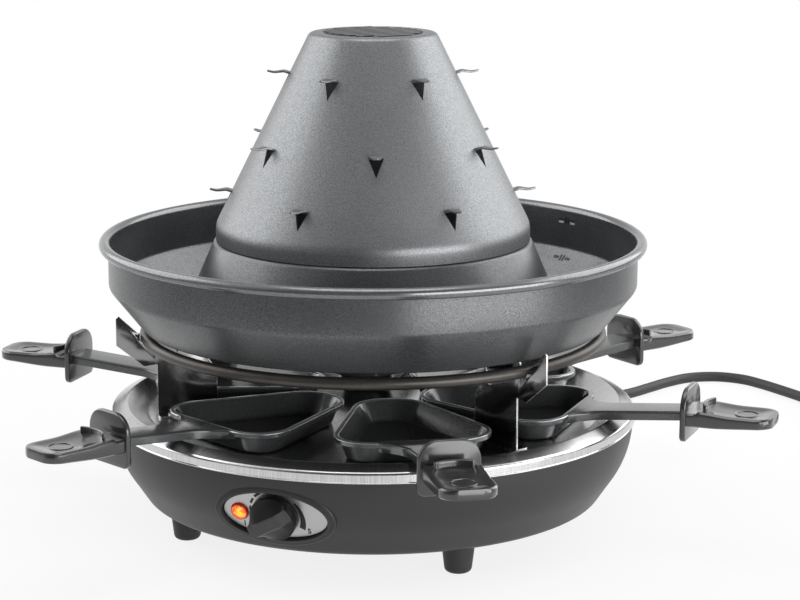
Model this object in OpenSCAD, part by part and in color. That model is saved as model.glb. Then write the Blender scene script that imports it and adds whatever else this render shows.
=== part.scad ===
// Round table raclette: moulded bowl with a steel tray, six mini pans, a heating ring on three stands,
// a broth pan and a conical grilling hat. Millimetres, +Z up, the control panel faces -Y, and the
// origin lies on the axis at table height.

/* [Housing] */
// Largest radius of the housing, at its upper edge
base_r = 149.6; // [135:0.2:165]
// Height of the housing's upper edge above the table
housing_top = 62.4; // [60:0.2:66]
// Distance of the crease between wall and lower band from the largest radius
crease_in = 10.6; // [8:0.2:13]
// Height of that crease above the table
crease_z = 30; // [27:0.5:32]
// Distance of the band's lower edge from the largest radius, before its rounding
band_in = 19.6; // [17:0.2:22]
// Rounding between the band and the flat bottom
bottom_round = 7; // [3:0.5:9]
// Wall thickness of the housing
housing_wall = 2.6; // [2:0.1:3.4]
// Diameter of the posts under the tray
post_d = 10; // [9:0.5:13]
// Distance of those posts from the largest radius
post_in = 65.6; // [58:0.2:72]

/* [Feet] */
// Height of the feet, from the table to the flat bottom
foot_h = 16.5; // [14:0.5:20]
// Distance of a foot's middle from the band's lower edge
foot_in = 15.5; // [13:0.5:20]
// Diameter of a foot at its top
foot_top_d = 18.5; // [16:0.5:22]
// Diameter of a foot at the table, before its rounding
foot_bottom_d = 14.5; // [12:0.5:16]
// Rounding of a foot's lower edge
foot_round = 3; // [1:0.5:4]

/* [Tray] */
// Sheet thickness of the steel tray
tray_wall = 0.8; // [0.6:0.1:1.2]
// Height of the tray's floor above the housing's upper edge
tray_floor_rise = 2.1; // [1.6:0.1:2.6]
// Height of the rim bead above the tray's floor
bead_rise = 6.7; // [5:0.1:7]
// Distance from the rim's outer face to the top of the bead
rim_width = 8.6; // [7:0.2:11]
// Width of the slope between the bead and the tray's floor
slope_w = 12.1; // [9:0.1:15]

/* [Control panel] */
// Height of the knob's axis above the table, at the plate
panel_z = 40; // [37:0.5:42]
// Depth of the plate's face inside the housing's wall, at the knob's axis
panel_sink = 3.34; // [2:0.02:4.6]
// Backward lean of the plate, following the wall
panel_tilt = 18; // [12:1:22]
// Length of the oval plate
plate_w = 60; // [56:0.5:66]
// Height of the oval plate
plate_h = 28; // [26:0.5:32]
// Thickness of the plate
plate_t = 0.8; // [0.6:0.1:1.2]
// Width of the moulded surround of the plate
bezel_w = 4.5; // [3:0.5:6]
// Height of the surround over the plate's face
bezel_rise = 2.4; // [1:0.2:4]
// Diameter of the knob
knob_d = 26; // [22:0.5:28]
// Height of the knob's disc
knob_disc_h = 5; // [4.5:0.5:7]
// Height of the grip bar over the disc
knob_bar_h = 5; // [3.5:0.5:8]
// Width of the grip bar
knob_bar_w = 8; // [6:0.5:10]
// Angle of the pointer at rest, counterclockwise from the right
pointer_angle = 209; // [190:1:240]
// Diameter of the thermostat shaft
shaft_d = 6; // [5:0.5:7]
// Distance of the lamp from the knob's axis
lamp_offset = 20.5; // [19:0.25:23]
// Diameter of the lamp's lens
lamp_d = 10; // [8:0.5:11]

/* [Stands] */
// Sheet thickness of the stands
stand_t = 1.2; // [0.8:0.1:1.6]
// Height of the ledge that carries the broth pan, over the tray's floor
stand_ledge_h = 51.5; // [48:0.5:56]
// Distance of the post's inner edge from the middle of the heating ring
stand_reach = 40; // [34:1:44]
// Distance of the post's outer edge from the middle of the heating ring
stand_in = 6; // [5:0.5:9]
// Reach of the guide blade beyond the middle of the heating ring
blade_out = 17; // [14:0.5:20]
// Height of the blade's tip over the ledge
blade_rise = 7; // [3:0.5:9]
// Length of the blade's upright outer edge
blade_edge_h = 15.5; // [12:0.5:18]
// Width of the foot flange on the tray
flange_w = 8; // [6:0.5:9]
// Width of the bent ear under the broth pan
ear_w = 12; // [8:0.5:14]
// Diameter of the rivet shanks
rivet_d = 3; // [2:0.5:4]

/* [Heating ring] */
// Distance of the ring's middle from the housing's largest radius
ring_in = 19.6; // [18.6:0.1:21]
// Diameter of the tube
ring_tube_d = 6.8; // [6:0.2:7.4]
// Gap between the tube's top and the broth pan's bottom
ring_gap = 2.1; // [1.6:0.1:4]
// Bend radius where the ends turn down
ring_bend_r = 10; // [8:0.5:12]
// Distance of each upright leg from the middle of the gap
leg_offset = 13; // [11:0.5:14]
// Length of the legs below the tray's floor
leg_drop = 26; // [20:1:30]

/* [Broth pan] */
// How far the tapered part leans out
pan_flare = 18.5; // [15:0.1:22]
// Sheet thickness of the pan
pan_wall = 1.2; // [0.8:0.1:1.6]
// Reach of the flat bottom beyond the middle of the heating ring
pan_over = 1.8; // [0:0.1:3]
// Height of the tapered part
pan_taper_h = 23.5; // [20:0.5:28]
// Height of the upright wall, to the middle of the rolled rim
pan_upright_h = 23.7; // [18:0.1:30]
// Diameter of the rolled rim
pan_bead_d = 5.4; // [4.4:0.2:7]
// Width of the flat bottom, from its edge to the stump
pan_floor_w = 20.8; // [17:0.1:25]
// Height of the stump's ledge over the pan's bottom
stump_h = 48; // [40:0.5:56]
// Height of the neck inside the hat
neck_h = 12; // [8:0.5:20]

/* [Hat] */
// Outer radius of the hat's skirt
hat_r = 89.3; // [86:0.1:92]
// Sheet thickness of the hat
hat_wall = 1.2; // [0.8:0.1:1.6]
// Height of the hat
hat_h = 117.3; // [105:0.1:130]
// Height at which the cone would meet the skirt
skirt_h = 8.6; // [7:0.2:11]
// Radius at which the cone would meet the top
hat_top_r = 35.7; // [32:0.1:40]
// Rounding between cone and skirt
skirt_round = 13; // [6:0.5:16]
// Rounding at the top
top_round = 3.4; // [2:0.2:5]
// Radius of the ribbed field on the top
rib_field_r = 28.5; // [22:0.5:30]
// Number of ribs on the top
rib_count = 9; // [5:2:13]
// Clearance between hat and pan
hat_gap = 0.3; // [0.2:0.05:0.5]
// Width of a punched spike at its root
spike_w = 8.3; // [6:0.1:10]
// Length of the punched triangle
spike_len = 12.3; // [10:0.1:14]

/* [Mini pans] */
// Inner end of a mini pan, from the axis
mini_inner_r = 33; // [30:0.5:38]
// Gap between a mini pan's outer end and the tray's slope
mini_gap = 6.5; // [5.5:0.5:9]
// Width at the inner end
mini_inner_w = 40; // [38:0.5:44]
// Width at the outer end
mini_outer_w = 82; // [78:0.5:84]
// Corner radius at the rim
mini_corner_r = 18; // [16:0.5:19]
// How far the wall leans out over its height
mini_flare = 5; // [4:0.5:8]
// Height of a mini pan
mini_h = 13; // [11:0.5:14]
// Sheet thickness of a mini pan
mini_wall = 1; // [0.8:0.1:1.4]
// Width of the rim's lip
mini_lip = 2; // [1:0.1:2.4]
// Width of the arm
arm_w = 21; // [18:0.5:24]
// Height of the arm's turned-down flanges
arm_depth = 5; // [4:0.25:5.5]
// Rise of the arm from rim to guard
arm_rise = 5; // [3:0.25:7]
// Distance of the grip's guard from the tray's rim
guard_out = 35.8; // [30:0.2:42]
// Width of the guard
guard_w = 33; // [28:0.5:38]
// Height of the guard above the grip's middle
guard_up = 13; // [10:0.5:16]
// Depth of the guard below the grip's middle
guard_down = 16; // [13:0.5:18]
// Thickness of the guard
guard_t = 3.2; // [2.4:0.1:4]
// Length of the grip behind the guard
grip_len = 46; // [40:0.5:54]
// Width of the grip
grip_w = 30; // [26:0.5:32]
// Thickness of the grip
grip_t = 7; // [6:0.25:9]
// Corner radius at the grip's tip
grip_round = 8; // [5:0.5:11]

/* [Cord] */
// Diameter of the mains cord
cord_d = 7; // [6:0.1:7.4]
// Height of the cord where it leaves the housing
cord_exit_z = 36; // [34:0.5:38]
// Length of the tapered cord grip outside the housing
cord_grip_len = 34; // [26:1:38]

/* [Hidden] */
$fn = 72;
fit = 0.2;
seat = 0.1;
eps = 0.01;
arc_step = 15;
// Length of a cut that passes right through
cut = 40;

// Heights that follow from the sizes above
tray_z = housing_top + tray_floor_rise;
tray_under_z = tray_z - tray_wall;
ledge_z = tray_z + stand_ledge_h;
pan_z = ledge_z + seat;
ring_z = ledge_z - ring_gap - ring_tube_d / 2;
crease_pan_z = pan_z + pan_taper_h;
rim_z = crease_pan_z + pan_upright_h;
stump_z = pan_z + stump_h;
hat_z = stump_z + hat_gap;
hat_top_z = hat_z + hat_h;
inside_z = foot_h + housing_wall;

// Radii that follow from the sizes above
rim_overlap = 0.6;
crease_r = base_r - crease_in;
band_r = base_r - band_in;
post_ring_r = base_r - post_in;
foot_ring_r = band_r - foot_in;
tray_r = base_r + rim_overlap;
bead_in = tray_r - rim_width;
tray_floor_r = bead_in - slope_w;
ring_r = base_r - ring_in;
stand_inner_r = ring_r - stand_reach;
stand_outer_r = ring_r - stand_in;
blade_r = ring_r + blade_out;
pan_bottom_r = ring_r + pan_over;
pan_r = pan_bottom_r + pan_flare;
stump_foot_r = pan_bottom_r - pan_floor_w;
mini_outer_r = tray_floor_r - mini_gap;
guard_r = tray_r + guard_out;

// Turns of the repeated pieces, counterclockwise seen from above, from the front
foot_turns = [45, 135, 225, 315];
post_turns = [20, 140, 260];
stand_turns = [60, 180, 300];
leg_turn = 240;
pan_turns = [33, 89, 145, 206, 272, 334];

// Plane geometry
function unit(v) = v / norm(v);
function left_of(v) = [-v[1], v[0]];
function reversed(list) = [for (i = [len(list) - 1:-1:0]) list[i]];
function angle_of(v) = atan2(v[1], v[0]);
function wrapped(a) = a > 180 ? a - 360 : a < -180 ? a + 360 : a;

// Points of a corner at p, between a and b, rounded with radius r
function corner(a, p, b, r) =
  let (
    u = unit(a - p),
    v = unit(b - p),
    half = acos(u * v) / 2,
    centre = p + unit(u + v) * r / sin(half),
    first = angle_of(p + u * r / tan(half) - centre),
    sweep = wrapped(angle_of(p + v * r / tan(half) - centre) - first),
    steps = max(2, ceil(abs(sweep) / arc_step))
  )
  [for (i = [0:steps]) centre + r * [cos(first + sweep * i / steps), sin(first + sweep * i / steps)]];

// A bent line through points [x, y, radius], with its corners rounded
function bent(points) =
  let (last = len(points) - 1)
  [for (i = [0:last])
    let (p = [points[i][0], points[i][1]], r = points[i][2])
    each (i == 0 || i == last || r == 0) ? [p]
      : corner([points[i - 1][0], points[i - 1][1]], p, [points[i + 1][0], points[i + 1][1]], r)];

// The same line moved to its left by d
function shifted(path, d) =
  let (last = len(path) - 1)
  [for (i = [0:last])
    let (
      before = left_of(unit(path[max(i, 1)] - path[max(i, 1) - 1])),
      after = left_of(unit(path[min(i + 1, last)] - path[min(i + 1, last) - 1])),
      n = unit(before + after)
    )
    path[i] + n * d / (n * before)];

// A turned sheet, whose section runs along a bent line and has its thickness to the left
module turned_sheet(points, t) {
  path = bent(points);
  rotate_extrude() polygon(concat(path, reversed(shifted(path, t))));
}

// Things modelled along +X, turned round the axis so that X points outwards there
module outward(turn) rotate([0, 0, turn - 90]) children();

// A profile in the X and Z plane, given a width across Y
module across(width) rotate([90, 0, 0]) translate([0, 0, -width / 2]) linear_extrude(width) children();

// A swept tube through points, all rings made with the same upright reference
function tangent(path, i) =
  let (last = len(path) - 1) unit(path[min(i + 1, last)] - path[max(i - 1, 0)]);
function ring_points(path, i, r, sides) =
  let (
    t = tangent(path, i),
    side = unit(cross(t, abs(t[2]) > 0.9 ? [1, 0, 0] : [0, 0, 1])),
    up = cross(side, t)
  )
  [for (k = [0:sides - 1]) path[i] + r * (cos(360 * k / sides) * side + sin(360 * k / sides) * up)];
module tube(path, r, sides) {
  last = len(path) - 1;
  walls = [for (i = [0:last - 1], k = [0:sides - 1])
    let (a = i * sides + k, b = i * sides + (k + 1) % sides)
    each [[a, b, b + sides], [a, b + sides, a + sides]]];
  caps = [for (k = [1:sides - 2])
    each [[0, k + 1, k], [last * sides, last * sides + k, last * sides + k + 1]]];
  polyhedron([for (i = [0:last]) each ring_points(path, i, r, sides)], concat(walls, caps));
}

// A smooth curve through hand-placed points
function between(a, b, c, d, t) =
  let (
    span = norm(c - b),
    leave = (c - a) * span / (norm(b - a) + span),
    reach = (d - b) * span / (norm(d - c) + span),
    s = t * t * (3 - 2 * t)
  )
  (1 - s) * b + s * c + t * (1 - t) * ((1 - t) * leave - t * reach);
function smooth(points, steps) =
  let (last = len(points) - 1)
  concat(
    [for (i = [0:last - 1], k = [0:steps - 1])
      between(points[max(i - 1, 0)], points[i], points[i + 1], points[min(i + 2, last)], k / steps)],
    [points[last]]);
function run_length(path) =
  let (steps = [for (i = [0:len(path) - 2]) norm(path[i + 1] - path[i])])
  steps * [for (step = steps) 1];

// Housing

// Outer line of the housing, from the axis to its upper edge
bulge_in = 0.3;
bulge_rise = 14;
wall_steps = 8;
wall_bulge = [base_r - bulge_in, crease_z + bulge_rise];
function wall_point(t) =
  (1 - t) * (1 - t) * [crease_r, crease_z] + 2 * t * (1 - t) * wall_bulge + t * t * [base_r, housing_top];
function housing_line() =
  concat(
    bent([[0, foot_h, 0], [band_r, foot_h, bottom_round], [crease_r, crease_z, 0]]),
    [for (i = [1:wall_steps]) wall_point(i / wall_steps)]);
module housing_body(inset) {
  line = housing_line();
  path = inset > 0 ? shifted(line, inset) : line;
  top = path[len(path) - 1];
  rotate_extrude() polygon(concat([[0, top[1]]], [for (p = path) [max(p[0], 0), p[1]]]));
}

// Radius of the wall at a height above the crease
function wall_r(z) =
  let (
    bow = crease_z - 2 * wall_bulge[1] + housing_top,
    rise = 2 * bulge_rise,
    t = 2 * (z - crease_z) / (rise + sqrt(rise * rise + 4 * bow * (z - crease_z)))
  )
  wall_point(t)[0];
panel_r = wall_r(panel_z) - panel_sink;

// Local frame of the control panel: X to the right, Y up the plate, Z out of its face
module on_panel() translate([0, -panel_r, panel_z]) rotate([90 + panel_tilt, 0, 0]) children();

// Oval outline of the plate, grown all round
oval_sides = 72;
module oval(grow) polygon([for (i = [0:oval_sides - 1])
  let(turn = 360 * i / oval_sides)
  [(plate_w / 2 + grow) * cos(turn), (plate_h / 2 + grow) * sin(turn)]]);
module oval_slab(grow, from, to) translate([0, 0, from]) linear_extrude(to - from) oval(grow);

bush_wall = 1.8;
bush_d = shaft_d + 2 * bush_wall;
panel_back = plate_t + housing_wall;
// Lip that centres the tray's rim
lip_h = 2.4;
lip_in = 0.9;
lip_root = 4;
// Gland of the cord in the rear wall
gland_wall = 2;
gland_gap = 2;
gland_len = 18;
gland_bore = cord_d + 2 * gland_gap;
gland_d = gland_bore + 2 * gland_wall;
gland_out = base_r - rim_overlap;
gland_in = gland_out - gland_len;
// Screws and nuts
screw_d = 3.4;
head_d = 2 * screw_d;
head_h = 2.2;
head_sink = 1.6;
head_gap = 0.5;
nut_h = 3.2;
nut_wall = 2.4;
nut_r = screw_d / 2 + nut_wall;
post_top = tray_under_z - nut_h;
// Air slots in the flat bottom
vent_count = 7;
vent_pitch = 12;
vent_w = 4;
vent_len = 44;
vent_y = 40;

module base_housing() color("dimgray") difference() {
  union() {
    difference() {
      housing_body(0);
      housing_body(housing_wall);
      translate([0, 0, housing_top - eps]) cylinder(h = cut, r = base_r + cut);
    }
    rotate_extrude() translate([base_r - housing_wall - eps, housing_top - lip_root])
      square([housing_wall - lip_in, lip_root + lip_h]);
    for (turn = post_turns) outward(turn) translate([post_ring_r, 0, inside_z - eps])
      cylinder(h = post_top - inside_z, d = post_d);
    on_panel() oval_slab(bezel_w, -panel_back, bezel_rise);
    outward(180) translate([gland_in, 0, cord_exit_z]) rotate([0, 90, 0])
      cylinder(h = gland_out - gland_in, d = gland_d);
  }
  on_panel() {
    oval_slab(fit, -plate_t, cut);
    translate([0, 0, -cut / 2]) cylinder(h = cut, d = bush_d + 2 * fit);
    translate([-lamp_offset, 0, -cut / 2]) cylinder(h = cut, d = lamp_d + 2 * fit);
  }
  for (turn = post_turns) outward(turn) translate([post_ring_r, 0, 0]) {
    cylinder(h = housing_top, d = screw_d + 2 * fit);
    cylinder(h = foot_h + head_sink, d = head_d + 2 * head_gap);
  }
  for (turn = foot_turns) outward(turn) translate([foot_ring_r, 0, 0])
    cylinder(h = inside_z + head_h, d = screw_d);
  outward(180) translate([gland_in - cut / 2, 0, cord_exit_z]) rotate([0, 90, 0])
    cylinder(h = gland_len + cut, d = gland_bore);
  for (i = [0:vent_count - 1]) translate([(i - (vent_count - 1) / 2) * vent_pitch, vent_y, foot_h])
    cube([vent_w, vent_len, 4 * housing_wall], center = true);
}

foot_root = 5;
foot_screw_len = 11;
foot_hole_len = 12;
module foot(turn) color("black") difference() {
  outward(turn) translate([foot_ring_r, 0, 0]) rotate_extrude() polygon(bent([
    [0, 0, 0],
    [foot_bottom_d / 2, 0, foot_round],
    [foot_top_d / 2, foot_h, 0],
    [foot_top_d / 2, foot_h + foot_root, 0],
    [0, foot_h + foot_root, 0]]));
  housing_body(0);
  outward(turn) translate([foot_ring_r, 0, foot_h - foot_hole_len]) cylinder(h = cut, d = screw_d);
}

module foot_screws() color("silver") for (turn = foot_turns) outward(turn) translate([foot_ring_r, 0, 0]) {
  translate([0, 0, inside_z]) cylinder(h = head_h, d = head_d);
  translate([0, 0, foot_h - foot_screw_len])
    cylinder(h = foot_screw_len + housing_wall + eps, d = screw_d - 2 * fit);
}

// Steel tray

slope_round = 6;
bead_round = 2.4;
rim_round = 2;
rim_drop = 3.4;
bushing_wall = 1.6;
leg_hole_d = ring_tube_d + 2 * bushing_wall + 4 * fit;
module tray_sheet() turned_sheet([
  [0, tray_z, 0],
  [tray_floor_r, tray_z, slope_round],
  [bead_in, tray_z + bead_rise, bead_round],
  [tray_r, tray_z + bead_rise - rim_drop, rim_round],
  [tray_r, housing_top, 0]], -tray_wall);
module steel_tray() color("lightgray") difference() {
  tray_sheet();
  translate([0, 0, tray_z - cut / 2]) {
    for (turn = stand_turns) rivet_places(turn) cylinder(h = cut, d = rivet_d + 2 * fit);
    leg_places() cylinder(h = cut, d = leg_hole_d);
    for (turn = post_turns) outward(turn) translate([post_ring_r, 0, 0])
      cylinder(h = cut, d = screw_d + 2 * fit);
  }
}

module tray_nuts() color("silver") for (turn = post_turns) outward(turn) translate([post_ring_r, 0, post_top])
  difference() {
    cylinder(h = nut_h, r = nut_r, $fn = 6);
    translate([0, 0, -cut / 2]) cylinder(h = cut, d = screw_d + fit);
  }

module tray_screws() color("silver") for (turn = post_turns) outward(turn) translate([post_ring_r, 0, 0]) {
  translate([0, 0, foot_h + head_sink - head_h]) cylinder(h = head_h, d = head_d);
  translate([0, 0, foot_h]) cylinder(h = tray_z - foot_h - fit, d = screw_d - fit);
}

// Stands

rivet_head = 1.1;
rivet_head_d = 2 * rivet_d - 0.6;
rivet_in = 8;
module flange_places() for (r = [stand_inner_r + rivet_in, stand_outer_r - rivet_in])
  translate([r, stand_t / 2 + flange_w / 2, 0]) children();
module rivet_places(turn) outward(turn) flange_places() children();

notch_r = ring_tube_d / 2 + fit;
notch_lip = 2.2;
tongue_t = 0.9;
tongue_w = 5;
blade_tip_z = ledge_z + blade_rise;
blade_drop = 17;
blade_foot_z = ring_z - blade_drop;
blade_foot_out = 1.5;
blade_step = 1;
blade_chamfer = 1.5;
ledge_gap = 0.5;
ledge_len = 21.9;
shoulder_w = 4;
shoulder_h = 12;
cheek_h = 26;
ledge_out_r = ring_r - notch_r - ledge_gap;
ledge_in_r = ledge_out_r - ledge_len;
ear_out = 8;
ear_h = 15;
ear_round = 4;
module stand(turn) color("gainsboro") outward(turn) {
  difference() {
    across(stand_t) polygon([
      [stand_inner_r, tray_z],
      [stand_outer_r, tray_z],
      [stand_outer_r, blade_foot_z + blade_step],
      [ring_r + blade_foot_out, blade_foot_z],
      [blade_r, blade_tip_z - blade_edge_h - blade_chamfer],
      [blade_r, blade_tip_z - blade_chamfer],
      [blade_r - blade_chamfer, blade_tip_z],
      [ring_r + notch_r + blade_step, ring_z + notch_lip],
      [ring_r, ring_z + notch_lip],
      [ring_r, ring_z + notch_r],
      [ledge_out_r, ring_z + notch_r],
      [ledge_out_r, ledge_z],
      [ledge_in_r, ledge_z],
      [ledge_in_r - shoulder_w, ledge_z - shoulder_h],
      [stand_inner_r, ledge_z - cheek_h]]);
    translate([ring_r, 0, ring_z]) rotate([90, 0, 0]) cylinder(h = cut, r = notch_r, center = true);
    translate([ring_r - notch_r, -cut / 2, ring_z]) cube([2 * notch_r, cut, cut]);
  }
  difference() {
    translate([stand_inner_r, 0, tray_z])
      cube([stand_outer_r - stand_inner_r, stand_t / 2 + flange_w, stand_t]);
    flange_places() translate([0, 0, tray_z - cut / 2]) cylinder(h = cut, d = rivet_d + 2 * fit);
  }
  translate([ledge_in_r + ear_out, -ear_w - stand_t / 2, ledge_z - ear_h]) difference() {
    cube([stand_t, ear_w + stand_t, ear_h]);
    translate([-cut / 2, 0, 0]) rotate([0, 90, 0]) difference() {
      translate([-ear_round, -ear_round, 0]) cube([2 * ear_round, 2 * ear_round, cut]);
      translate([-ear_round, ear_round, -eps]) cylinder(h = cut + 2 * eps, r = ear_round);
    }
  }
  translate([ring_r, 0, ring_z]) difference() {
    rotate([90, 0, 0]) cylinder(h = tongue_w, r = notch_r + tongue_t, center = true);
    rotate([90, 0, 0]) cylinder(h = cut, r = notch_r, center = true);
    translate([-cut / 2, -cut / 2, -tongue_t]) cube([cut, cut, cut]);
  }
}

module stand_rivets() color("silver") for (turn = stand_turns) rivet_places(turn) {
  translate([0, 0, tray_z + stand_t]) cylinder(h = rivet_head, d = rivet_head_d);
  translate([0, 0, tray_under_z - rivet_head]) cylinder(h = rivet_head, d = rivet_head_d);
  translate([0, 0, tray_under_z - eps]) cylinder(h = tray_wall + stand_t + 2 * eps, d = rivet_d);
}

// Heating ring

ring_half_gap = asin((leg_offset + ring_bend_r) / ring_r);
leg_bottom = tray_z - leg_drop;
module leg_ends() for (side = [-1, 1]) outward(leg_turn + side * ring_half_gap)
  translate([ring_r, 0, 0]) mirror([0, side > 0 ? 1 : 0, 0]) children();
module leg_places() leg_ends() translate([0, ring_bend_r, 0]) children();
// Crimped sleeves stand round the joints of ring, bend and leg
sleeve_d = ring_tube_d + 0.6;
sleeve_len = 5;
module heating_ring() color("#4a4540") {
  outward(leg_turn + ring_half_gap) translate([0, 0, ring_z]) rotate_extrude(angle = 360 - 2 * ring_half_gap)
    translate([ring_r, 0]) circle(d = ring_tube_d);
  leg_ends() {
    translate([0, 0, ring_z]) rotate([90, 0, 0]) cylinder(h = sleeve_len, d = sleeve_d, center = true);
    translate([0, 0, ring_z - ring_bend_r]) rotate([0, -90, 0]) rotate_extrude(angle = 90)
      translate([ring_bend_r, 0]) circle(d = ring_tube_d);
    translate([0, ring_bend_r, ring_z - ring_bend_r]) cylinder(h = sleeve_len, d = sleeve_d, center = true);
    translate([0, ring_bend_r, leg_bottom]) cylinder(h = ring_z - ring_bend_r - leg_bottom, d = ring_tube_d);
  }
}

bushing_flange = 2;
bushing_flange_w = 2;
bushing_reach = 7;
module ring_bushings() color("ivory") leg_places() difference() {
  union() {
    translate([0, 0, tray_under_z - bushing_flange])
      cylinder(h = bushing_flange, d = leg_hole_d + 2 * bushing_flange_w);
    translate([0, 0, tray_under_z - bushing_reach])
      cylinder(h = 2 * bushing_reach + tray_wall, d = leg_hole_d - 2 * fit);
  }
  translate([0, 0, tray_z - cut / 2]) cylinder(h = cut, d = ring_tube_d + 2 * fit);
}

terminal_d = 4;
terminal_h = 7;
tab_len = 8;
tab_h = 5;
tab_w = 0.8;
module heater_terminals() color("gold") leg_places() translate([0, 0, leg_bottom - terminal_h]) {
  cylinder(h = terminal_h, d = terminal_d);
  translate([-tab_len, -tab_w / 2, 0]) cube([tab_len, tab_w, tab_h]);
}

// Control panel

module control_plate() color("silver") on_panel() difference() {
  oval_slab(0, -plate_t, 0);
  translate([0, 0, -cut / 2]) cylinder(h = cut, d = bush_d + 2 * fit);
  translate([-lamp_offset, 0, -cut / 2]) cylinder(h = cut, d = lamp_d + 2 * fit);
}

body_w = 26;
body_h = 25;
body_t = 15;
bush_rise = 3.4;
shaft_depth = 7.5;
nut_t = 2.6;
nut_w = 2.7;
module thermostat_body() color("tan") on_panel() difference() {
  union() {
    translate([-body_w / 2, -body_h / 2, -panel_back - body_t]) cube([body_w, body_h, body_t]);
    translate([0, 0, -panel_back - eps]) cylinder(h = panel_back + bush_rise, d = bush_d);
  }
  translate([0, 0, -panel_back - shaft_depth - head_gap]) cylinder(h = cut, d = shaft_d + 2 * fit);
}

module thermostat_nut() color("goldenrod") on_panel() difference() {
  cylinder(h = nut_t, d = bush_d + 2 * nut_w, $fn = 6);
  translate([0, 0, -cut / 2]) cylinder(h = cut, d = bush_d + fit);
}

knob_lift = 0.8;
knob_r = knob_d / 2;
knob_top = knob_lift + knob_disc_h + knob_bar_h;
knob_skin = 2;
knob_draft = 0.8;
knob_rim = 2.6;
knob_recess = 3.6;
pointer_len = 6;
pointer_w = 1;
pointer_depth = 0.6;
shaft_len = panel_back + shaft_depth + knob_top - knob_skin - fit;
module thermostat_shaft() color("gray") on_panel()
  translate([0, 0, -panel_back - shaft_depth]) cylinder(h = shaft_len, d = shaft_d);

module control_knob() color("#202020") on_panel() difference() {
  intersection() {
    translate([0, 0, knob_lift])
      cylinder(h = knob_top - knob_lift, r1 = knob_r, r2 = knob_r - 2 * knob_draft);
    union() {
      cylinder(h = knob_lift + knob_disc_h, r = knob_d);
      rotate([0, 0, pointer_angle]) translate([-knob_d, -knob_bar_w / 2, 0])
        cube([2 * knob_d, knob_bar_w, cut]);
    }
  }
  translate([0, 0, knob_lift + knob_recess - cut]) cylinder(h = cut, r = knob_r - knob_rim);
  translate([0, 0, knob_top - knob_skin - cut]) cylinder(h = cut, d = shaft_d + fit);
  rotate([0, 0, pointer_angle]) translate([knob_r - pointer_len, -pointer_w / 2, knob_top - pointer_depth])
    cube([cut, pointer_w, cut]);
}

lamp_flange = 1.2;
lamp_flange_w = 1.5;
lamp_body_in = 0.5;
lamp_len = 14;
lamp_edge = 1.2;
lamp_crown = 2.6;
lamp_round = 1;
module lamp_lens() color("orange") on_panel() translate([-lamp_offset, 0, 0]) rotate_extrude() polygon(bent([
  [0, -panel_back, 0],
  [lamp_d / 2, -panel_back, 0],
  [lamp_d / 2, lamp_edge, lamp_round],
  [0, lamp_crown, 0]]));
module lamp_holder() color("white") on_panel() translate([-lamp_offset, 0, -panel_back]) {
  translate([0, 0, -lamp_flange]) cylinder(h = lamp_flange, d = lamp_d + 2 * lamp_flange_w);
  translate([0, 0, -lamp_len]) cylinder(h = lamp_len - lamp_flange + eps, d = lamp_d - 2 * lamp_body_in);
}

// Wiring inside the housing

block_in = 39;
block_y = gland_in - block_in;
block_w = 30;
block_d = 18;
block_h = 15;
pole_pitch = 9;
pole_d = 4.2;
pole_floor = 7;
wire_d = 2.6;
wire_gap = 1.2;
wire_z = inside_z + wire_d / 2 + wire_gap;
wire_end = 0.1;
wire_straight = 4;
module terminal_block() color("white") difference() {
  translate([-block_w / 2, block_y - block_d / 2, inside_z]) cube([block_w, block_d, block_h]);
  for (i = [-1:1]) translate([i * pole_pitch, block_y, inside_z + pole_floor]) cylinder(h = cut, d = pole_d);
}
block_wire_z = inside_z + pole_floor - 1;
block_front = block_y - block_d / 2 - wire_end;
function block_point(x, forwards) = [x, block_front - forwards, block_wire_z];
module wire(points) tube(smooth(points, 3), wire_d / 2, 8);
body_back = panel_r - cos(panel_tilt) * (panel_back + body_t) - wire_end;
body_mid_z = panel_z + sin(panel_tilt) * (panel_back + body_t);
panel_in = [0, cos(panel_tilt), sin(panel_tilt)];
terminal_z = leg_bottom - terminal_h + tab_h / 2;

// A point inwards of a leg's terminal, on the side of the ring's gap that side names
function terminal_point(side, inwards, rise) =
  let (
    turn = leg_turn + side * ring_half_gap,
    out = [sin(turn), -cos(turn)],
    leg = ring_r * out - side * ring_bend_r * [cos(turn), sin(turn)],
    p = leg - (tab_len + wire_end + inwards) * out
  )
  [p[0], p[1], terminal_z + rise];
function body_point(x, inwards) = [x, -body_back, body_mid_z] + inwards * panel_in;

// A point on the floor of the housing, a share of the way from a to b and aside to the left
function lay(a, b, share, aside, rise) =
  let (way = [b[0] - a[0], b[1] - a[1]], p = [a[0], a[1]] + way * share + left_of(unit(way)) * aside)
  [p[0], p[1], wire_z + rise];
// Straight ends of a wire, seen from the block, the thermostat and a heater terminal
function from_block(x) = [for (i = [0:2]) block_point(x, i * wire_straight)];
function from_body(x) = [for (i = [0, 1, 3]) body_point(x, i * wire_straight)];
terminal_run = 22;
terminal_sag = 3;
function from_terminal(side) = [
  terminal_point(side, 0, 0),
  terminal_point(side, 1.5 * wire_straight, 0),
  terminal_point(side, terminal_run, -terminal_sag)];
body_pole = 8;
// How far the wires bow aside on their way, and how far they lift off the floor
supply_bow = 11;
heater_bow = 26;
neutral_bow = 3;
wire_lift = 4;

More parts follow.
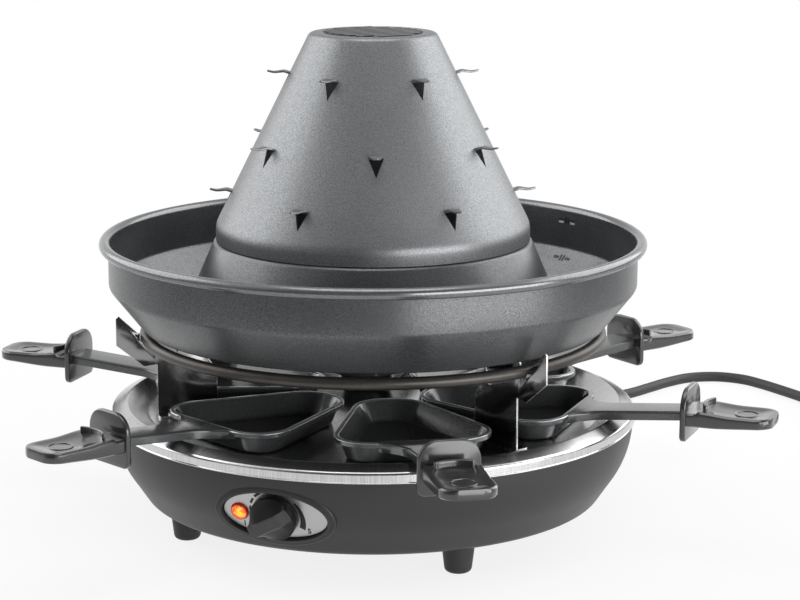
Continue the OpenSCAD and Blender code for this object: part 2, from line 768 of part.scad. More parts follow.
module routed(from, to, middle) wire(concat(from, middle, reversed(to)));
supply_from = from_block(pole_pitch);
supply_to = from_body(body_pole);
module supply_wire() color("saddlebrown") routed(supply_from, supply_to, [
  lay(supply_from[2], supply_to[2], 0.2, supply_bow / 3, 0),
  lay(supply_from[2], supply_to[2], 0.5, supply_bow, 0),
  lay(supply_from[2], supply_to[2], 0.77, 0.7 * supply_bow, wire_lift)]);
heater_from = from_body(-body_pole);
heater_to = from_terminal(1);
module heater_wire() color("black") routed(heater_from, heater_to, [
  lay(heater_from[2], heater_to[2], 0.32, 0.6 * heater_bow, 1.5 * wire_lift),
  lay(heater_from[2], heater_to[2], 0.73, heater_bow, wire_lift)]);
neutral_from = from_block(-pole_pitch);
neutral_to = from_terminal(-1);
module neutral_wire() color("royalblue") routed(neutral_from, neutral_to, [
  lay(neutral_from[2], neutral_to[2], 0.3, neutral_bow, wire_lift / 2),
  lay(neutral_from[2], neutral_to[2], 0.7, neutral_bow, wire_lift / 2)]);
earth_turn = post_turns[1];
earth_post = post_ring_r * [sin(earth_turn), -cos(earth_turn)];
earth_z = post_top + nut_h / 2;
earth_run = 22;
earth_drop = 12;
earth_from = from_block(0);
function by_post(inwards, drop) = [earth_post[0] - nut_r - inwards, earth_post[1], earth_z - drop];
earth_to = [by_post(wire_end, 0), by_post(wire_straight, 0), by_post(earth_run / 2, wire_lift / 2)];
module earth_wire() color("yellowgreen") routed(earth_from, earth_to, [
  lay(earth_from[2], by_post(earth_run, 0), 0.4, -neutral_bow, block_h),
  by_post(earth_run, earth_drop)]);

// Broth pan and hat

hat_slope = (hat_r - hat_top_r) / (hat_h - skirt_h);
neck_r = hat_r - hat_wall - hat_gap - fit;
bead_bite = 0.3;
wall_over = 0.8;
pan_bead_r = pan_r + pan_bead_d / 2 - bead_bite;
crease_round = 5;
floor_round = 4;
ledge_round = 1.8;
stump_ledge = 3;
module broth_pan() color("#58585a") {
  turned_sheet([
    [pan_r, rim_z + wall_over, 0],
    [pan_r, crease_pan_z, crease_round],
    [pan_bottom_r, pan_z, floor_round],
    [stump_foot_r - pan_wall, pan_z, floor_round],
    [neck_r + stump_ledge - pan_wall, stump_z - pan_wall, ledge_round],
    [neck_r - pan_wall, stump_z - pan_wall, ledge_round],
    [neck_r - pan_wall - neck_h * hat_slope, stump_z + neck_h, 0]], -pan_wall);
  translate([0, 0, rim_z]) rotate_extrude() translate([pan_bead_r, 0]) circle(d = pan_bead_d);
}

// Rows of punched spikes: height of the root over the hat's lower edge, and turn of the first one
spike_rows = [[94.7, 52.7], [56.2, 22.7], [27.7, 52.7]];
spikes_per_row = 6;
cone_lean = atan(hat_slope);
function cone_r(h) = hat_top_r + hat_slope * (hat_h - h);
// Local frame on the cone: X outwards, Y round the cone, Z up the slope
module on_cone(h, turn)
  outward(turn) translate([cone_r(h), 0, hat_z + h]) rotate([0, -cone_lean, 0]) children();
module all_spikes() for (row = spike_rows, k = [0:spikes_per_row - 1])
  on_cone(row[0], row[1] + k * 360 / spikes_per_row) children();
// Bent line of a spike, seen from the side: outwards and down the slope, so that it lies level
tab_line = bent([[-0.6, 0, 0], [3.2, -0.6, 4], [8, -3.8, 8], [11.6, -4.6, 0]]);
tab_t = 1;
tab_root = 2;
tab_tip = 14;
hole_top = 1.2;
module spike_tab() intersection() {
  across(spike_w) polygon(concat(tab_line, reversed(shifted(tab_line, -tab_t))));
  linear_extrude(cut, center = true) polygon([
    [-tab_root, -spike_w / 2],
    [tab_root, -spike_w / 2],
    [tab_tip, 0],
    [tab_root, spike_w / 2],
    [-tab_root, spike_w / 2]]);
}
module spike_hole() rotate([0, 90, 0]) linear_extrude(4 * hat_wall, center = true)
  polygon([[hole_top, -spike_w / 2], [hole_top, spike_w / 2], [spike_len, 0]]);

rib_turn = 48;
rib_pitch = 2 * rib_field_r / rib_count;
rib_h = 0.6;
rib_w = 0.56 * rib_pitch;
module hat() color("#6b6b6d") {
  difference() {
    turned_sheet([
      [0, hat_top_z - rib_h, 0],
      [hat_top_r, hat_top_z - rib_h, top_round],
      [hat_r, hat_z + skirt_h, skirt_round],
      [hat_r, hat_z, 0]], -hat_wall);
    all_spikes() spike_hole();
  }
  all_spikes() spike_tab();
  translate([0, 0, hat_top_z - rib_h - eps]) intersection() {
    cylinder(h = rib_h + eps, r = rib_field_r);
    rotate([0, 0, rib_turn]) for (i = [0:rib_count - 1])
      translate([-rib_field_r, (i - (rib_count - 1) / 2) * rib_pitch - rib_w / 2, 0])
        cube([2 * rib_field_r, rib_w, rib_h + eps]);
  }
}

// Mini pans, modelled with X outwards

mini_z = tray_z + seat;
mini_rim_z = mini_z + mini_h;
arm_end_z = mini_rim_z + arm_rise;
grip_z = arm_end_z;
arm_bite = 4;
arm_from = mini_outer_r - arm_bite;
arm_fillet = 20;
arm_root = 12;
arm_level = 8;
tang_w = 13;
tang_gap = 14;
tang_len = grip_len - tang_gap;
tang_t = 1.2;
tang_z = grip_z - mini_wall - tang_t;
screw_in = 8;
screw_r = guard_r + guard_t + tang_len - screw_in;
corner_fn = 32;
module mini_corners(from) for (side = [-1, 1]) {
  translate([mini_inner_r + mini_corner_r, side * (mini_inner_w / 2 - mini_corner_r), from]) children();
  translate([mini_outer_r - mini_corner_r, side * (mini_outer_w / 2 - mini_corner_r), from]) children();
}
module mini_bowl(inset, from, to) hull() mini_corners(from) {
  r = mini_corner_r - inset;
  cylinder(h = to - from, r1 = r - mini_flare, r2 = r, $fn = corner_fn);
}
module mini_rim(from, to) hull() mini_corners(from)
  cylinder(h = to - from, r = mini_corner_r + mini_lip, $fn = corner_fn);
module arm_plan(inset) {
  translate([arm_from, -arm_w / 2 + inset]) square([guard_r - arm_from, arm_w - 2 * inset]);
  for (side = [-1, 1]) mirror([0, side > 0 ? 0 : 1]) difference() {
    translate([arm_from, 0]) square([mini_outer_r + arm_fillet - arm_from, arm_w / 2 + arm_root - inset]);
    translate([mini_outer_r + arm_fillet, arm_w / 2 + arm_fillet - inset]) circle(arm_fillet);
  }
}
module arm_side(drop) across(2 * guard_r) polygon([
  [arm_from, mini_rim_z - drop],
  [mini_outer_r + arm_level, mini_rim_z - drop],
  [guard_r, arm_end_z - drop],
  [guard_r, arm_end_z - arm_depth - drop],
  [mini_outer_r + arm_level, mini_rim_z - arm_depth - drop],
  [arm_from, mini_rim_z - arm_depth - drop]]);
module arm_block(inset) intersection() {
  arm_side(inset);
  linear_extrude(2 * arm_end_z) arm_plan(inset);
}
module mini_pan(turn) color("#262626") outward(turn) difference() {
  union() {
    mini_bowl(0, mini_z, mini_rim_z);
    mini_rim(mini_rim_z - mini_wall, mini_rim_z);
    difference() {
      arm_block(0);
      arm_block(mini_wall);
    }
    translate([guard_r - mini_wall, -tang_w / 2, tang_z])
      cube([mini_wall + guard_t + tang_len, tang_w, tang_t]);
    translate([guard_r - mini_wall, -arm_w / 2, arm_end_z - arm_depth]) cube([mini_wall, arm_w, arm_depth]);
  }
  mini_bowl(mini_wall, mini_z + mini_wall, mini_rim_z + eps);
  translate([screw_r, 0, 0]) cylinder(h = 2 * arm_end_z, d = screw_d);
}

// Grips: an upright guard, and behind it a flat grip with a rounded tip
socket_gap = 0.15;
socket_end = 0.5;
guard_arch_r = 40;
guard_shoulder = 7;
head_pocket = 2;
module guard_outline() {
  translate([-guard_w / 2, -guard_down]) square([guard_w, guard_down + guard_up - guard_shoulder]);
  intersection() {
    translate([0, guard_up - guard_arch_r]) circle(guard_arch_r);
    translate([-guard_w / 2, 0]) square([guard_w, guard_up]);
  }
}
module grip_outline() {
  translate([0, -grip_w / 2]) square([guard_t + grip_len - grip_round, grip_w]);
  translate([guard_t, -grip_w / 2 + grip_round]) square([grip_len, grip_w - 2 * grip_round]);
  for (side = [-1, 1])
    translate([guard_t + grip_len - grip_round, side * (grip_w / 2 - grip_round)]) circle(grip_round);
}
module pan_grip(turn) color("#1c1c1c") outward(turn) difference() {
  union() {
    translate([guard_r + fit, 0, grip_z]) rotate([90, 0, 90]) linear_extrude(guard_t) guard_outline();
    translate([guard_r + fit, 0, grip_z - grip_t]) linear_extrude(grip_t) grip_outline();
  }
  translate([guard_r - guard_t, -tang_w / 2 - socket_gap, tang_z - socket_gap])
    cube([2 * guard_t + tang_len + socket_end + fit, tang_w + 2 * socket_gap, tang_t + 2 * socket_gap]);
  translate([screw_r, 0, tang_z + tang_t + fit - cut]) cylinder(h = cut, d = screw_d);
  translate([screw_r, 0, grip_z - grip_t + head_pocket - cut]) cylinder(h = cut, d = head_d + 2 * head_gap);
}

module grip_screw(turn) color("silver") outward(turn) translate([screw_r, 0, grip_z - grip_t + fit]) {
  cylinder(h = head_pocket - fit, d = head_d);
  cylinder(h = tang_z + tang_t - fit - (grip_z - grip_t), d = screw_d - fit);
}

// Mains cord

// Tapered grip in the housing's rear wall, modelled with X outwards
cord_sleeve = cord_d + 2 * fit;
grip_flange = 2;
grip_flange_w = 1.5;
collar_len = 4;
collar_in = 0.5;
taper_in = 1.5;
tip_wall = 1.2;
module at_gland() outward(180) translate([0, 0, cord_exit_z]) rotate([0, 90, 0]) children();
module cord_grip() color("#181818") at_gland() difference() {
  union() {
    translate([0, 0, gland_in - grip_flange]) cylinder(h = grip_flange, d = gland_bore + 2 * grip_flange_w);
    translate([0, 0, gland_in - eps]) cylinder(h = gland_out - gland_in + 2 * eps, d = gland_bore - 2 * fit);
    translate([0, 0, gland_out]) cylinder(h = collar_len, d = gland_d - 2 * collar_in);
    translate([0, 0, gland_out + collar_len - eps])
      cylinder(h = cord_grip_len - collar_len + eps, d1 = gland_d - 2 * taper_in, d2 = cord_d + 2 * tip_wall);
  }
  translate([0, 0, gland_in - cut / 2]) cylinder(h = gland_len + cord_grip_len + cut, d = cord_sleeve);
}

// Route of the free stretch on the table, chosen by hand: X, Y and height of its middle
floor_z = cord_d / 2;
lead_route = [
  [0, 124, cord_exit_z], [0, 145, cord_exit_z], [0, 165, cord_exit_z], [0, 184, cord_exit_z],
  [0, 192, cord_exit_z - 0.5], [2, 206, cord_exit_z - 4], [8, 221, cord_exit_z - 13],
  [18, 240, floor_z + 10], [30, 259, floor_z + 3], [43, 279, floor_z], [56, 299, floor_z],
  [68, 320, floor_z], [76, 340, floor_z], [84, 360, floor_z],
  [95, 378, floor_z], [112, 388, floor_z], [131, 387, floor_z], [147, 378, floor_z],
  [163, 366, floor_z], [179, 353, floor_z], [196, 338, floor_z]];

// Coil: in along the lower layer, up a layer in the half turn where it reverses, out along the upper one
coil_turns = 3;
coil_air = 0.7;
coil_pitch = cord_d + coil_air;
coil_mid_r = 40;
loop_rings = 24;
tie_t = 0.8;
tie_gap = 0.4;
coil_z = cord_d / 2 + tie_t + tie_gap;
coil_start = [215, 321];
coil_heading = -42;
half_turns = coil_turns * 180;
coil_inner_r = coil_mid_r - coil_pitch * coil_turns / 4;
coil_outer_r = coil_inner_r + coil_pitch * coil_turns / 2;
coil_centre = coil_start + coil_outer_r * [-sin(coil_heading), cos(coil_heading)];
// Degrees over which the spiral eases from inwards to outwards
ease = 20;
function eased(t) = t * t * (3 - 2 * t);
function climb(a) = eased(min(max((a - half_turns + 90) / 180, 0), 1));
function coil_point(a) =
  let (
    r = coil_inner_r + coil_pitch * sqrt(pow(a - half_turns, 2) + ease * ease) / 360,
    turn = coil_heading - 90 + a
  )
  [coil_centre[0] + r * cos(turn), coil_centre[1] + r * sin(turn), coil_z + coil_pitch * climb(a)];
coil_steps = coil_turns * loop_rings;
coil_loops = [for (i = [0:coil_steps]) coil_point(360 * i / loop_rings)];
heading = [cos(coil_heading), sin(coil_heading), 0];
coil_path = concat(
  [coil_loops[0] - heading * cord_d],
  coil_loops,
  [coil_loops[coil_steps] + heading * cord_d]);
coil_gap = min([for (i = [0:coil_steps], j = [i + loop_rings / 3:coil_steps])
  norm(coil_loops[i] - coil_loops[j])]) - cord_d;
tail_start = coil_path[len(coil_path) - 1];
plug_r = 18;
plug_z = plug_r + fit;
tail_len = 62;
tail_steps = 4;
function tail_point(along, rise) = tail_start + heading * along + [0, 0, (plug_z - tail_start[2]) * rise];
tail_route = concat(
  [tail_point(0, 0)],
  [for (i = [0:tail_steps])
    let (t = i / tail_steps) tail_point(cord_d + (tail_len - 2 * cord_d) * t, eased(t))],
  [tail_point(tail_len, 1)]);
plug_start = tail_point(tail_len, 1);
lead_path = concat(smooth(lead_route, 2), [coil_path[0] - heading * cord_d, coil_path[0]]);
echo(coil_gap_mm = coil_gap);
echo(cord_length_mm = [run_length(lead_path), run_length(coil_path), run_length(tail_route)]);

module cord_lead() color("#303030") tube(lead_path, cord_d / 2, 10);
module cord_coil() color("#303030") tube(coil_path, cord_d / 2, 6);
module cord_tail() color("#303030") tube(tail_route, cord_d / 2, 10);

// Band round the bundle, on the side away from the grill
tie_turn = 30;
tie_w = 9;
bundle_in = coil_inner_r - cord_d / 2 - 2 * tie_gap;
bundle_out = coil_outer_r + cord_d / 2 + 2 * tie_gap;
bundle_h = coil_pitch + cord_d + 2 * tie_gap;
module cord_tie() color("black") translate([coil_centre[0], coil_centre[1], 0]) rotate([0, 0, tie_turn])
  across(tie_w) difference() {
    translate([bundle_in - tie_t, 0]) square([bundle_out - bundle_in + 2 * tie_t, bundle_h + 2 * tie_t]);
    translate([bundle_in, tie_t]) square([bundle_out - bundle_in, bundle_h]);
  }

// Plug with two round pins, its axis along the cord
plug_len = 44;
plug_neck_len = 14;
plug_shoulder = 16;
neck_wall = 1.5;
neck_flare = 1.5;
neck_round = 4;
shoulder_round = 6;
face_round = 1.5;
pin_d = 4.8;
pin_len = 19;
pin_pitch = 19;
pin_root = 10;
module at_plug() translate(plug_start) rotate([0, 90, coil_heading]) children();
module plug_body() color("#202020") at_plug() difference() {
  rotate_extrude() polygon(bent([
    [0, 0, 0],
    [cord_d / 2 + neck_wall, 0, 0],
    [cord_d / 2 + neck_wall + neck_flare, plug_neck_len, neck_round],
    [plug_r, plug_len - plug_shoulder, shoulder_round],
    [plug_r, plug_len, face_round],
    [0, plug_len, 0]]));
  for (side = [-1, 1]) translate([0, side * pin_pitch / 2, plug_len - pin_root])
    cylinder(h = cut, d = pin_d + fit);
}
module plug_pins() color("silver") at_plug() for (side = [-1, 1])
  translate([0, side * pin_pitch / 2, plug_len - pin_root]) {
    cylinder(h = pin_root + pin_len - pin_d / 2, d = pin_d);
    translate([0, 0, pin_root + pin_len - pin_d / 2]) sphere(d = pin_d);
  }

base_housing();
for (i = [0:3]) foot(foot_turns[i]);
foot_screws();
steel_tray();
tray_nuts();
tray_screws();
stand(stand_turns[0]);  // stand_right
stand(stand_turns[1]);  // stand_rear
stand(stand_turns[2]);  // stand_left
stand_rivets();
heating_ring();
ring_bushings();
heater_terminals();
control_plate();
control_knob();
thermostat_shaft();
thermostat_body();
thermostat_nut();
lamp_lens();
lamp_holder();
terminal_block();
supply_wire();
heater_wire();
neutral_wire();
earth_wire();
broth_pan();
hat();
for (i = [0:5]) {
  mini_pan(pan_turns[i]);
  pan_grip(pan_turns[i]);
  grip_screw(pan_turns[i]);
}
cord_grip();
cord_lead();
cord_coil();
cord_tail();
cord_tie();
plug_body();
plug_pins();
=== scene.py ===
"""A round table raclette with a broth pan and a grilling hat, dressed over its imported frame.

Pieces are modelled in millimetres, +Z up, with the control panel facing -Y, and brought to metres
when they are finished.
"""
from math import asin, atan, atan2, ceil, cos, degrees, pi, radians, sin, sqrt, tan

import bpy
from mathutils import Matrix, Vector


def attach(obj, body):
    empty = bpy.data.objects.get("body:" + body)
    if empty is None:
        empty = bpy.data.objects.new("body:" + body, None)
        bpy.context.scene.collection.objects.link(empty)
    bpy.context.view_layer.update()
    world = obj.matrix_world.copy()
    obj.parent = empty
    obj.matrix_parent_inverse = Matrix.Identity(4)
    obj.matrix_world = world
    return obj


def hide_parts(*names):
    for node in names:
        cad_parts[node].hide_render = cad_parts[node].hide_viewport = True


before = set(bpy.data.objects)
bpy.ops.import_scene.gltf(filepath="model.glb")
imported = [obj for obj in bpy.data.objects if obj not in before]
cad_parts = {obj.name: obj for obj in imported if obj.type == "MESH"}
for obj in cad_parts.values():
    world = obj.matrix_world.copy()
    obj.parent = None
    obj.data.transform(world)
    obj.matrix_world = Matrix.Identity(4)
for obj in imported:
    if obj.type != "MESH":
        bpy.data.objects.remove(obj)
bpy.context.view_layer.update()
MM = 0.001

# Camera, at the photograph's viewing angle

VIEW_TURN = 21.3
VIEW_TILT = 78
VIEW_PLACE = (0.48868, -1.25341, 0.41366)
bpy.ops.object.camera_add(location=VIEW_PLACE, rotation=(radians(VIEW_TILT), 0, radians(VIEW_TURN)))
camera = bpy.context.object
camera.data.lens = 108
camera.data.sensor_width = 36
camera.data.shift_x = 0.03375
bpy.context.scene.camera = camera

# Lines and outlines


def wrapped(angle):
    """The same angle between half a turn back and half a turn on."""
    return (angle + pi) % (2 * pi) - pi


def vectors(places):
    """Points out of plain numbers."""
    return [Vector(place) for place in places]


def arc(centre, radius, start, sweep, step=8):
    """Points of an arc, with angles in degrees."""
    steps = max(2, ceil(abs(sweep) / step))
    turns = [radians(start + sweep * i / steps) for i in range(steps + 1)]
    return [Vector((centre[0] + radius * cos(turn), centre[1] + radius * sin(turn))) for turn in turns]


def corner(before, at, after, radius):
    """Points of a corner rounded with a radius."""
    back, ahead = (before - at).normalized(), (after - at).normalized()
    half = back.angle(ahead) / 2
    centre = at + (back + ahead).normalized() * radius / sin(half)
    first = at + back * radius / tan(half) - centre
    last = at + ahead * radius / tan(half) - centre
    start = atan2(first.y, first.x)
    sweep = wrapped(atan2(last.y, last.x) - start)
    return arc(centre, radius, degrees(start), degrees(sweep))


def bent(points, closed=False):
    """A line through points (x, y, radius) with its corners rounded."""
    line = []
    last = len(points) - 1
    for i, (x, y, radius) in enumerate(points):
        at = Vector((x, y))
        if radius == 0 or not closed and i in (0, last):
            line.append(at)
        else:
            before, after = points[i - 1], points[(i + 1) % len(points)]
            line += corner(Vector(before[:2]), at, Vector(after[:2]), radius)
    return line


def boxed(low, bottom, high, top, *radii):
    """A rectangle with rounded corners: one radius for all four, or one each from the low bottom round."""
    corners = [(low, bottom), (high, bottom), (high, top), (low, top)]
    return bent([(x, y, radii[i % len(radii)]) for i, (x, y) in enumerate(corners)], True)


def shifted(line, distance):
    """The same line moved to its left."""
    moved = []
    last = len(line) - 1
    for i, point in enumerate(line):
        back = (line[max(i, 1)] - line[max(i, 1) - 1]).normalized()
        ahead = (line[min(i + 1, last)] - line[min(i + 1, last) - 1]).normalized()
        side_back, side_ahead = Vector((-back.y, back.x)), Vector((-ahead.y, ahead.x))
        side = (side_back + side_ahead).normalized()
        moved.append(point + side * distance / side.dot(side_back))
    return moved


def divided(line, longest):
    """The same line with its long stretches cut into shorter ones."""
    parts = [line[0]]
    for start, end in zip(line, line[1:]):
        count = max(1, ceil((end - start).length / longest))
        parts += [start.lerp(end, (i + 1) / count) for i in range(count)]
    return parts


def opposite(row):
    """The same points on the other side of the plane of X and Z, in reverse."""
    return [Vector((point.x, -point.y, point.z)) for point in reversed(row)]


def sheet_section(line, thickness):
    """Closed section of a sheet that runs along a line, with its thickness to the left."""
    return line + shifted(line, thickness)[::-1]


def eased(t):
    """Goes from 0 to 1 with a soft start and end."""
    t = min(max(t, 0), 1)
    return t * t * (3 - 2 * t)


# Work on meshes

MERGE_GAP = 0.002
SLIVER = 0.0005


def pick(*pieces):
    """Selects these pieces alone, the first one active."""
    bpy.ops.object.select_all(action="DESELECT")
    for piece in pieces:
        piece.select_set(True)
    bpy.context.view_layer.objects.active = pieces[0]


def opened(piece):
    """Edit mode on a piece, with all of it selected."""
    pick(piece)
    bpy.ops.object.mode_set(mode="EDIT")
    bpy.ops.mesh.select_all(action="SELECT")


def closed(piece, caps=False):
    """Merges doubles, closes open ends if asked, turns the faces outwards and leaves edit mode."""
    bpy.ops.mesh.select_all(action="SELECT")
    bpy.ops.mesh.remove_doubles(threshold=MERGE_GAP)
    bpy.ops.mesh.dissolve_degenerate(threshold=SLIVER)
    bpy.ops.mesh.delete_loose()
    if caps:
        bpy.ops.mesh.select_all(action="SELECT")
        bpy.ops.mesh.fill_holes(sides=0)
    bpy.ops.mesh.select_all(action="SELECT")
    bpy.ops.mesh.normals_make_consistent(inside=False)
    bpy.ops.object.mode_set(mode="OBJECT")
    return piece


def flat(height):
    """Lays an outline level, at a height."""
    return lambda x, y: (x, y, height)


def upright(aside):
    """Stands an outline in the plane of X and Z, at a distance along Y."""
    return lambda x, z: (x, aside, z)


def facing(out):
    """Stands an outline in the plane of Y and Z, at a distance along X."""
    return lambda y, z: (out, y, z)


def loop(outline, place, fill="NOTHING"):
    """A circle with its vertices moved to an outline."""
    bpy.ops.object.select_all(action="DESELECT")
    bpy.ops.mesh.primitive_circle_add(vertices=len(outline), fill_type=fill)
    piece = bpy.context.object
    for vertex, point in zip(piece.data.vertices, outline):
        vertex.co = place(*point)
    return piece


def turned(section, steps=192, sweep=360):
    """A closed section spun round the upright axis."""
    piece = loop(section, upright(0))
    opened(piece)
    bpy.ops.mesh.spin(steps=steps, angle=radians(sweep), center=(0, 0, 0), axis=(0, 0, 1))
    return closed(piece, caps=sweep < 360)


def slab(outline, place, offset):
    """A filled outline extruded by an offset."""
    piece = loop(outline, place, fill="NGON")
    opened(piece)
    bpy.ops.mesh.extrude_region_move(TRANSFORM_OT_translate={"value": offset})
    return closed(piece)


def skin(rows, ring=True, caps=True):
    """A grid laid through rows of points, joined round each row and capped if it is a ring."""
    wide = len(rows[0]) + ring
    bpy.ops.object.select_all(action="DESELECT")
    bpy.ops.mesh.primitive_grid_add(x_subdivisions=wide - 1, y_subdivisions=len(rows) - 1, size=2)
    piece = bpy.context.object
    for vertex in piece.data.vertices:
        row = rows[round((vertex.co.y + 1) / 2 * (len(rows) - 1))]
        vertex.co = row[round((vertex.co.x + 1) / 2 * (wide - 1)) % len(row)]
    opened(piece)
    return closed(piece, caps=ring and caps)


def tube(path, radius, sides=20):
    """A round rod along a path of points."""
    rows = []
    last = len(path) - 1
    across = None
    for i, point in enumerate(path):
        along = (path[min(i + 1, last)] - path[max(i - 1, 0)]).normalized()
        across = along.orthogonal() if across is None else across - along * across.dot(along)
        across.normalize()
        up = along.cross(across)
        turns = [2 * pi * k / sides for k in range(sides)]
        rows.append([point + radius * (cos(turn) * across + sin(turn) * up) for turn in turns])
    return skin(rows)


def worked(piece, kind, **settings):
    """Adds a modifier to a piece and applies it."""
    modifier = piece.modifiers.new(kind, kind)
    for name, value in settings.items():
        setattr(modifier, name, value)
    pick(piece)
    bpy.ops.object.modifier_apply(modifier=modifier.name)
    return piece


def softened(piece, width, segments=2, angle=35):
    """Rounds the sharp edges of a piece."""
    return worked(piece, "BEVEL", width=width, segments=segments, limit_method="ANGLE",
                  angle_limit=radians(angle), harden_normals=False)


def joined(*pieces):
    """One piece out of several."""
    if len(pieces) > 1:
        pick(*pieces)
        bpy.ops.object.join()
    return pieces[0]


def carved(piece, *tools):
    """Takes the tools' shapes out of a piece."""
    tool = joined(*tools)
    worked(piece, "BOOLEAN", operation="DIFFERENCE", solver="EXACT", object=tool)
    bpy.data.objects.remove(tool)
    return piece


def placed(piece, matrix):
    """Moves a piece's mesh."""
    piece.data.transform(matrix)
    piece.data.update()
    return piece


def copied(piece, matrix):
    """Another piece of the same shape, with its own mesh, moved by a matrix."""
    other = piece.copy()
    other.data = piece.data.copy()
    bpy.context.collection.objects.link(other)
    return placed(other, matrix)


def repeated(piece, places):
    """Copies of a piece at several places, in its stead."""
    copies = [copied(piece, place) for place in places]
    bpy.data.objects.remove(piece)
    return copies


def rod(radius, bottom, top, sides=48):
    """A round upright bar, as a tool or a blank."""
    circle = arc((0, 0), radius, 0, 360 - 360 / sides, 360 / sides)
    return slab(circle, flat(bottom), (0, 0, top - bottom))


def shift(x, y, z):
    """Matrix that moves by a distance."""
    return Matrix.Translation((x, y, z))


def about(axis, angle):
    """Matrix that turns about an axis, by degrees."""
    return Matrix.Rotation(radians(angle), 4, axis)


def outward(turn):
    """Matrix that turns X outwards at an angle from the front, counterclockwise from above."""
    return about("Z", turn - 90)


def finished(piece, name, finish, slot, body, *nodes, smooth=35):
    """Brings a piece to metres, gives it a name, finish and body, and hides the imported nodes it replaces;
    the slot is not used.
    """
    piece.name = piece.data.name = name
    pick(piece)
    piece.scale = (MM, MM, MM)
    bpy.ops.object.transform_apply(location=True, rotation=True, scale=True)
    bpy.ops.object.shade_smooth_by_angle(angle=radians(smooth))
    piece.data.materials.clear()
    piece.data.materials.append(finishes[finish].material)
    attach(piece, body)
    if nodes:
        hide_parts(*nodes)
    return piece


def trimmed(piece, finish, chosen):
    """Gives the chosen faces of a finished piece another finish."""
    piece.data.materials.append(finishes[finish].material)
    piece.data.polygons.foreach_set("material_index", chosen)


# Finishes


class Shade:
    """A socket of a finish; sums and products on it add Math nodes."""

    def __init__(self, finish, socket):
        self.finish = finish
        self.socket = socket

    def calculate(self, operation, *terms):
        """The result of a Math node."""
        return self.finish.node("ShaderNodeMath", {"operation": operation}, dict(enumerate(terms)))

    def __add__(self, other):
        return self.calculate("ADD", self, other)

    __radd__ = __add__

    def __sub__(self, other):
        return self.calculate("SUBTRACT", self, other)

    def __rsub__(self, other):
        return self.calculate("SUBTRACT", other, self)

    def __mul__(self, other):
        return self.calculate("MULTIPLY", self, other)

    __rmul__ = __mul__

    def above(self, low, high):
        """0 below the low value, 1 above the high one, soft between."""
        settings = {"interpolation_type": "SMOOTHSTEP"}
        return self.finish.node("ShaderNodeMapRange", settings, {0: self, 1: low, 2: high})


class Nodes:
    """A node tree that is built by expressions."""

    def __init__(self, tree):
        self.tree = tree

    def node(self, kind, settings=None, sockets=None, output=0):
        """A node with its settings, then the values or links of its sockets."""
        made = self.tree.nodes.new(kind)
        for name, value in (settings or {}).items():
            setattr(made, name, value)
        for name, value in (sockets or {}).items():
            self.feed(made.inputs[name], value)
        return Shade(self, made.outputs[output])

    def feed(self, socket, value):
        """Links a shade to a socket, or sets the socket's value."""
        if isinstance(value, Shade):
            self.tree.links.new(value.socket, socket)
        else:
            socket.default_value = value

    def mix(self, share, first, second):
        """A colour between two others."""
        return self.node("ShaderNodeMix", {"data_type": "RGBA"}, {0: share, 6: first, 7: second}, 2)

    def rays(self, kind):
        """1 for rays of one kind, 0 for others."""
        return self.node("ShaderNodeLightPath", output=f"Is {kind} Ray")

    def vector(self, operation, *terms, output=0):
        """The result of a Vector Math node."""
        return self.node("ShaderNodeVectorMath", {"operation": operation}, dict(enumerate(terms)), output)


class Finish(Nodes):
    """A material with one Principled shader."""

    def __init__(self, name, **sockets):
        self.material = bpy.data.materials.new(name)
        self.material.use_nodes = True
        super().__init__(self.material.node_tree)
        self.shader = self.tree.nodes["Principled BSDF"]
        self.set(**sockets)

    def set(self, **sockets):
        """Feeds the shader's sockets, named with underscores."""
        for name, value in sockets.items():
            self.feed(self.shader.inputs[name.replace("_", " ")], value)

    def place(self):
        """The surface's own place, in metres."""
        return self.node("ShaderNodeTexCoord", output="Object")

    def noise(self, size, detail=2, vector=None):
        """Soft noise whose lumps have this size in millimetres, or in the vector's units."""
        scale = 1 / size if vector else 1 / (size * MM)
        sockets = {"Vector": vector or self.place(), "Scale": scale, "Detail": detail}
        return self.node("ShaderNodeTexNoise", None, sockets)

    def bump(self, height, depth, strength=1):
        """A relief with this depth in millimetres."""
        self.set(Normal=self.node("ShaderNodeBump", None, {
            "Strength": strength, "Distance": depth * MM, "Height": height}))


def grey(value, warm=0):
    """An opaque grey, a little warmer or cooler."""
    return (value * (1 + warm), value, value * (1 - warm), 1)


def coating(name, dark, light, roughness, relief=0.45):
    """Non-stick coating: a grey film full of fine metal flecks, a little uneven from place to place."""
    finish = Finish(name, Metallic=0.72, IOR=1.5)
    flecks = finish.noise(size=0.6, detail=3).above(0.34, 0.68)
    cloud = finish.noise(size=38)
    finish.set(
        Base_Color=finish.mix(flecks * 0.8 + cloud * 0.2, grey(dark, -0.03), grey(light, -0.03)),
        Roughness=roughness + 0.1 * cloud - 0.08 * flecks)
    finish.bump(finish.noise(size=0.9), depth=0.05, strength=relief)
    return finish


def moulded(name, dark, light, roughness, grain=0.7):
    """Moulded plastic with a fine sparked grain and faint handling marks."""
    finish = Finish(name, IOR=1.46)
    cloud = finish.noise(size=24, detail=3)
    speck = finish.noise(size=grain)
    finish.set(
        Base_Color=finish.mix(cloud * 0.6 + speck * 0.4, grey(dark, -0.01), grey(light, -0.01)),
        Roughness=roughness + 0.12 * cloud - 0.06)
    finish.bump(speck, depth=0.05, strength=0.4)
    return finish


